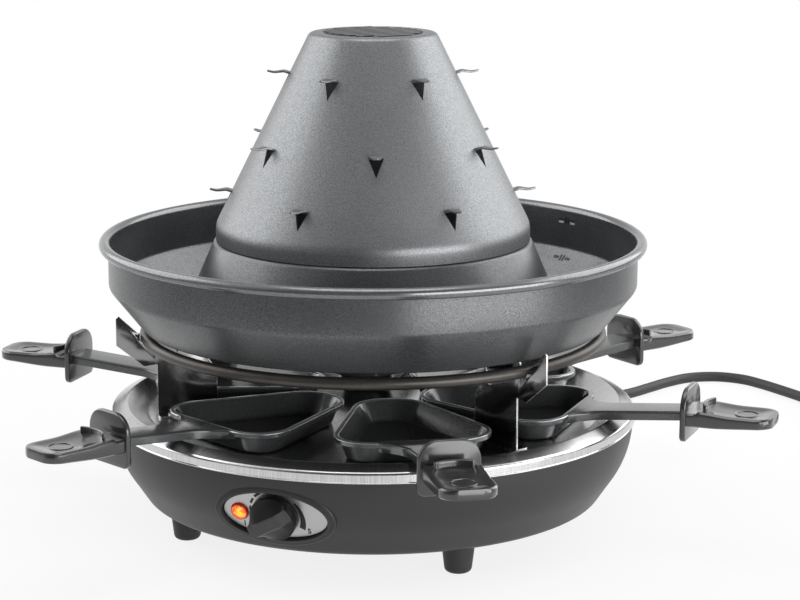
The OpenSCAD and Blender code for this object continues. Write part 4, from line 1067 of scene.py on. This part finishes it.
hole = slab([(-SPIKE_HALF, -1.2), (0, -12.3), (SPIKE_HALF, -1.2)], facing(-4), (8, 0, 0))
carved(hat, *repeated(hole, spike_places))
spike_line = divided(bent([(-0.6, 0, 0), (3.2, -0.6, 4), (8, -3.8, 8), (11.6, -4.6, 0)]), 1)
spike_under = shifted(spike_line, -1)
spike_rows = []
for upper, lower in zip(spike_line, spike_under):
    half = SPIKE_HALF * min(1, (14 - upper.x) / 12)
    spike_rows.append(vectors([
        (upper.x, -half, upper.y), (upper.x, half, upper.y),
        (lower.x, half, lower.y), (lower.x, -half, lower.y)]))
spikes = repeated(softened(skin(spike_rows), 0.2, 2, 50), spike_places)
ribs = []
grooves = []
RIBS = 9
RIB_HALF = 1.5
RIB_ROOT = 0.4
RIB_TURN = 48
RIB_FIELD = 28.5
RIB_PITCH = 2 * RIB_FIELD / RIBS
GROOVE_HALF = 1.6
GROOVE_DEPTH = 0.8
for i in range(1 - RIBS, RIBS):
    aside = i * RIB_PITCH / 2
    half = sqrt(RIB_FIELD ** 2 - aside ** 2) - 1
    place = about("Z", RIB_TURN) @ shift(0, aside, 0)
    if i % 2:
        groove_line = boxed(-half, -GROOVE_HALF, half, GROOVE_HALF, 1.2)
        groove = slab(groove_line, flat(TOP_Z - GROOVE_DEPTH), (0, 0, 5))
        grooves.append(placed(groove, place))
    else:
        rib_line = boxed(-half, -RIB_HALF, half, RIB_HALF, 1)
        rib = slab(rib_line, flat(TOP_Z - RIB_ROOT), (0, 0, RIB_ROOT + RIB_H))
        ribs.append(placed(softened(rib, 0.25, 2, 60), place))
carved(hat, *grooves)
hat = finished(joined(hat, *spikes, *ribs), "hat_pressed", "hat_coat", "hat_coating", "hat", "hat", smooth=30)


def gets_painted_groove_shade(face):
    """Tells whether a face is a side of a rib or lies in a groove of the hat's top, where shade is painted.
    """
    x, y, z = face.center / MM
    steep = face.normal.z < 0.5 or z < TOP_Z - 0.1
    return steep and z > TOP_Z - GROOVE_DEPTH - 0.1 and x * x + y * y < RIB_FIELD * RIB_FIELD


# The ribs' sides and the grooves get a darker coat: painted shade.
trimmed(hat, "groove_coat", [gets_painted_groove_shade(face) for face in hat.data.polygons])

# Mini pans: pressed bowls with a channel-shaped arm, modelled with X outwards

MINI_Z = 64.6
MINI_TOP = 77.6
MINI_CENTRES = vectors([(51, -2), (105, -23), (105, 23), (51, 2)])
MINI_TURNS = [33, 89, 145, 206, 272, 334]
CORNER_STEPS = 12


def mini_outline(radius, height):
    """Outline at a distance from the corners' centres."""
    points = []
    for i, centre in enumerate(MINI_CENTRES):
        back = centre - MINI_CENTRES[i - 1]
        ahead = MINI_CENTRES[(i + 1) % 4] - centre
        start = atan2(-back.x, back.y)
        sweep = wrapped(atan2(-ahead.x, ahead.y) - start)
        for k in range(CORNER_STEPS + 1):
            turn = start + sweep * k / CORNER_STEPS
            points.append(Vector((centre.x + radius * cos(turn), centre.y + radius * sin(turn), height)))
    return points


mini_section = bent([
    (4, MINI_Z, 0), (13, MINI_Z, 2.8), (17.2, 76.2, 0.6), (18.9, 76.3, 0.5), (18.9, 74.6, 0),
    (19.9, 74.6, 0.3), (20, MINI_TOP, 0.9), (17.2, MINI_TOP, 0.8), (12.3, MINI_Z + 1, 2.2),
    (4, MINI_Z + 1, 0)])
bowl = skin([mini_outline(radius, height) for radius, height in mini_section])

ARM_HALF = 10.5
ARM_ROOT_HALF = 22.5
ARM_FILLET = 20
ARM_ROOT = 143
ARM_LEVEL = 131
ARM_END = 186
ARM_RISE = 5
ARM_DEPTH = 5
ARM_WALL = 1
ARM_LEAN = 0.69


def arm_half(x):
    """Half the arm's width at a distance from the axis, with the fillets at its root."""
    if x >= ARM_ROOT:
        return ARM_HALF
    fillet = sqrt(max(0, ARM_FILLET ** 2 - (ARM_ROOT - x) ** 2))
    return min(ARM_ROOT_HALF, ARM_HALF + ARM_FILLET - fillet)


def arm_top(x):
    """Height of the arm's top, level at first and then rising to the guard."""
    rise = ARM_RISE * max(0, x - ARM_LEVEL) / (ARM_END - ARM_LEVEL)
    return MINI_TOP - 0.05 + 0.05 * eased((x - 126) / 6) + rise


def arm_row(x, lean):
    """Section of the arm: a channel, open below; its lower edges start further in by the lean."""
    half = arm_half(x)
    inside = half - ARM_WALL
    outer = bent([(-half, -ARM_DEPTH, 0), (-half, 0, 1.4), (half, 0, 1.4), (half, -ARM_DEPTH, 0)])
    inner = bent([
        (inside, -ARM_DEPTH, 0), (inside, -ARM_WALL, 0.5),
        (-inside, -ARM_WALL, 0.5), (-inside, -ARM_DEPTH, 0)])
    return [Vector((x + lean * point.y, point.x, arm_top(x) + point.y)) for point in outer + inner]


arm_stations = [
    122.3, 123.3, 124.3, 125.5, 127, 129, ARM_LEVEL, 134, 137, 140, ARM_ROOT, 150, 160, 170, 178, ARM_END]
arm = skin([arm_row(x, ARM_LEAN * max(0, 1 - i / 3)) for i, x in enumerate(arm_stations)])
TANG_HALF = 6.5
TANG_END = 221.2
tang_line = boxed(ARM_END - 1, -TANG_HALF, TANG_END, TANG_HALF, 0, 3, 3, 0)
tang = slab(tang_line, flat(80.4), (0, 0, 1.2))
mini = softened(joined(bowl, arm, tang), 0.15, 1, 60)


def on_lip(face):
    """Tells whether a face is on the bowl's lip, which gets a lighter coat: a painted highlight."""
    x, y, z = face.center
    return z > MINI_TOP - 0.7 and not (x > 122 and abs(y) < ARM_ROOT_HALF)


# The lip faces get the lighter coat: a painted highlight.
lip_highlight_faces = [on_lip(face) for face in mini.data.polygons]

# Grips: a guard, and behind it a dished grip with a thumb stop

GUARD_R = 186.2
GUARD_T = 3.2
GUARD_HALF = 16.5
GUARD_LOW = 66.6
GUARD_TOP = 95.6
GRIP_TOP = 82.6
GRIP_LOW = 75.6
GRIP_END = 235.4
GRIP_HALF = 15
GRIP_TAPER = 1.9
GRIP_CLIMB = 1.3
GRIP_DISH = 1.1
DISH_STEPS = 8
TIP_LEN = 9
STOP_R = 196
STOP_CENTRE = (STOP_R + 18, 0)
guard_line = boxed(-GUARD_HALF, GUARD_LOW, GUARD_HALF, GUARD_TOP, 4, 4, 11, 11)
guard = softened(slab(guard_line, facing(GUARD_R), (GUARD_T, 0, 0)), 0.9, 3)


def grip_row(x):
    """Section of the grip: bevelled upper edges, a dished top that climbs to the stop and a rounded tip."""
    tip = max(0, x - (GRIP_END - TIP_LEN)) / TIP_LEN
    half = GRIP_HALF - TIP_LEN * (1 - sqrt(max(0, 1 - tip * tip)))
    low = GRIP_LOW + GRIP_TAPER * eased((x - 200) / 35)
    rim = GRIP_TOP + 0.3 + GRIP_CLIMB * eased((215 - x) / 20) * (x > STOP_R - 1)
    dish = GRIP_DISH * eased((x - STOP_R) / 9) * eased((GRIP_END - 1.5 - x) / 9)
    row = vectors([(x, -half + 0.8, low), (x, -half, low + 0.8), (x, -half, rim - 1), (x, -half + 1, rim)])
    for k in range(-DISH_STEPS, DISH_STEPS + 1):
        across = (half - 3) * k / DISH_STEPS
        row.append(Vector((x, across, rim - dish * (1 - (k / DISH_STEPS) ** 4))))
    return row + opposite(row[:4])


grip_stations = [188.5 + 1.5 * i for i in range(26)]
grip_stations += [GRIP_END - TIP_LEN * (1 - sin(pi / 2 * i / 10)) for i in range(10)] + [GRIP_END - 0.05]
handle = softened(skin([grip_row(x) for x in grip_stations]), 0.4, 2, 40)
stop_line = arc(STOP_CENTRE, 18.6, 145, 70, 4) + arc(STOP_CENTRE, 16.8, 215, -70, 4)
stop = softened(slab(stop_line, flat(81.5), (0, 0, 5.8)), 0.6, 3)
MARK_Z = 81.84
ring_line = [Vector((x, y, MARK_Z)) for x, y in arc((219.5, 0), 6.4, 0, 360, 10)]
ring_mark = tube(ring_line, 0.4, 8)
grip = joined(guard, handle, stop, ring_mark)
carved(grip, placed(rod(3.9, 70, 77.6, 32), shift(213.4, 0, 0)))

for i, turn in enumerate(MINI_TURNS, 1):
    body = f"mini_pan_{i}"
    other = copied(mini, outward(turn))
    finished(other, f"mini_bowl_{i}", "mini_coat", "mini_coating", body, body)
    trimmed(other, "mini_lip", lip_highlight_faces)
    other = copied(grip, outward(turn))
    finished(other, f"grip_moulded_{i}", "grip_plastic", "grip_plastic", body, f"pan_grip_{i}")
bpy.data.objects.remove(mini)
bpy.data.objects.remove(grip)

# Wires in the housing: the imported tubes, rounded

WIRES = {
    "supply_wire": "wire_brown", "heater_wire": "wire_black", "neutral_wire": "wire_blue",
    "earth_wire": "wire_earth"}
for node, colour in WIRES.items():
    wire = copied(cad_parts[node], Matrix.Scale(1 / MM, 4))
    for name in list(wire.keys()):
        del wire[name]
    wire.parent = None
    opened(wire)
    bpy.ops.mesh.remove_doubles(threshold=0.01)
    bpy.ops.mesh.tris_convert_to_quads()
    bpy.ops.object.mode_set(mode="OBJECT")
    worked(wire, "SUBSURF", levels=2, render_levels=2)
    finished(wire, f"{node}_round", colour, colour, "base", node)

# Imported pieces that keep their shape

KEPT = {
    "screw_steel": [
        "foot_screws", "tray_nuts", "tray_screws", "stand_rivets", *[f"grip_screw_{i}" for i in range(1, 7)]],
    "shaft_steel": ["thermostat_shaft"],
    "ceramic": ["ring_bushings", "terminal_block"],
    "brass": ["heater_terminals", "thermostat_nut"],
    "thermostat_brown": ["thermostat_body"],
    "holder_white": ["lamp_holder"]}
for finish, names in KEPT.items():
    for name in names:
        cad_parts[name].data.materials.clear()
        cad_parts[name].data.materials.append(finishes[finish].material)

# Studio: a small white table, a white room that is dark behind the camera, and soft lights

TABLE_R = 0.75
bpy.ops.object.select_all(action="DESELECT")
bpy.ops.mesh.primitive_circle_add(vertices=128, radius=TABLE_R, fill_type="NGON")
floor = bpy.context.object
floor.name = "floor"
paper = Finish("floor_paper", Roughness=0.9, Base_Color=grey(0.8))
away = paper.vector("LENGTH", paper.place(), output="Value")
rays = paper.rays("Camera") + paper.rays("Glossy") + paper.rays("Transmission")
white = paper.node("ShaderNodeEmission", None, {"Color": grey(1.0), "Strength": 1.0})
lit = Shade(paper, paper.shader.outputs[0])
share = rays * (0.84 + 0.16 * away.above(0.3, 0.72))
paper.feed(
    paper.tree.nodes["Material Output"].inputs["Surface"],
    paper.node("ShaderNodeMixShader", None, {0: share, 1: lit, 2: white}))
floor.data.materials.append(paper.material)

world = bpy.data.worlds.new("studio")
bpy.context.scene.world = world
world.use_nodes = True
room = Nodes(world.node_tree)
DARK_TURN = radians(VIEW_TURN + 12)
way = room.node("ShaderNodeTexCoord", output="Generated")
towards = room.vector("DOT_PRODUCT", way, (sin(DARK_TURN), -cos(DARK_TURN), 0), output="Value")
height = room.vector("DOT_PRODUCT", way, (0, 0, 1), output="Value")
walls = room.mix(towards.above(0.0, 0.78), grey(0.9), grey(0.06))
low = room.mix((0 - towards).above(0.3, 0.8), room.mix(0.6, walls, grey(0.1)), grey(1.0))
walls = room.mix((0 - towards).above(0.3, 0.95), walls, grey(0.7))
mirrored = room.mix(height.above(0.1, 0.5), low, walls)
ambient = room.node("ShaderNodeBackground", None, {0: grey(1.0), 1: 0.35})
reflected = room.node("ShaderNodeBackground", None, {0: mirrored, 1: 1.0})
backdrop = room.node("ShaderNodeBackground", None, {0: grey(1.0), 1: 1.0})
seen = room.rays("Camera") + room.rays("Transmission")
inside = room.node("ShaderNodeMixShader", None, {0: room.rays("Glossy"), 1: ambient, 2: reflected})
room.feed(
    room.tree.nodes["World Output"].inputs["Surface"],
    room.node("ShaderNodeMixShader", None, {0: seen, 1: inside, 2: backdrop}))

TARGET = Vector((0, 0, 0.14))


def softbox(name, azimuth, elevation, distance, width, height, power):
    """A soft light, placed by its angles from the camera's side of the object."""
    turn = radians(VIEW_TURN + azimuth)
    level = cos(radians(elevation))
    way = Vector((sin(turn) * level, -cos(turn) * level, sin(radians(elevation))))
    bpy.ops.object.light_add(type="AREA", location=TARGET + way * distance)
    light = bpy.context.object
    light.name = name
    light.rotation_euler = way.to_track_quat("Z", "Y").to_euler()
    light.data.shape = "RECTANGLE"
    light.data.size, light.data.size_y = width, height
    light.data.energy = power


softbox("softbox_left", -112, 28, 1.5, 1.6, 1.3, 14)
softbox("softbox_right", 115, 28, 1.5, 1.6, 1.3, 16)
softbox("softbox_front", 44, 2, 1.7, 1.9, 1.0, 31)
softbox("softbox_top", 0, 82, 1.7, 1.2, 1.2, 10)

bpy.context.scene.view_settings.view_transform = "Standard"
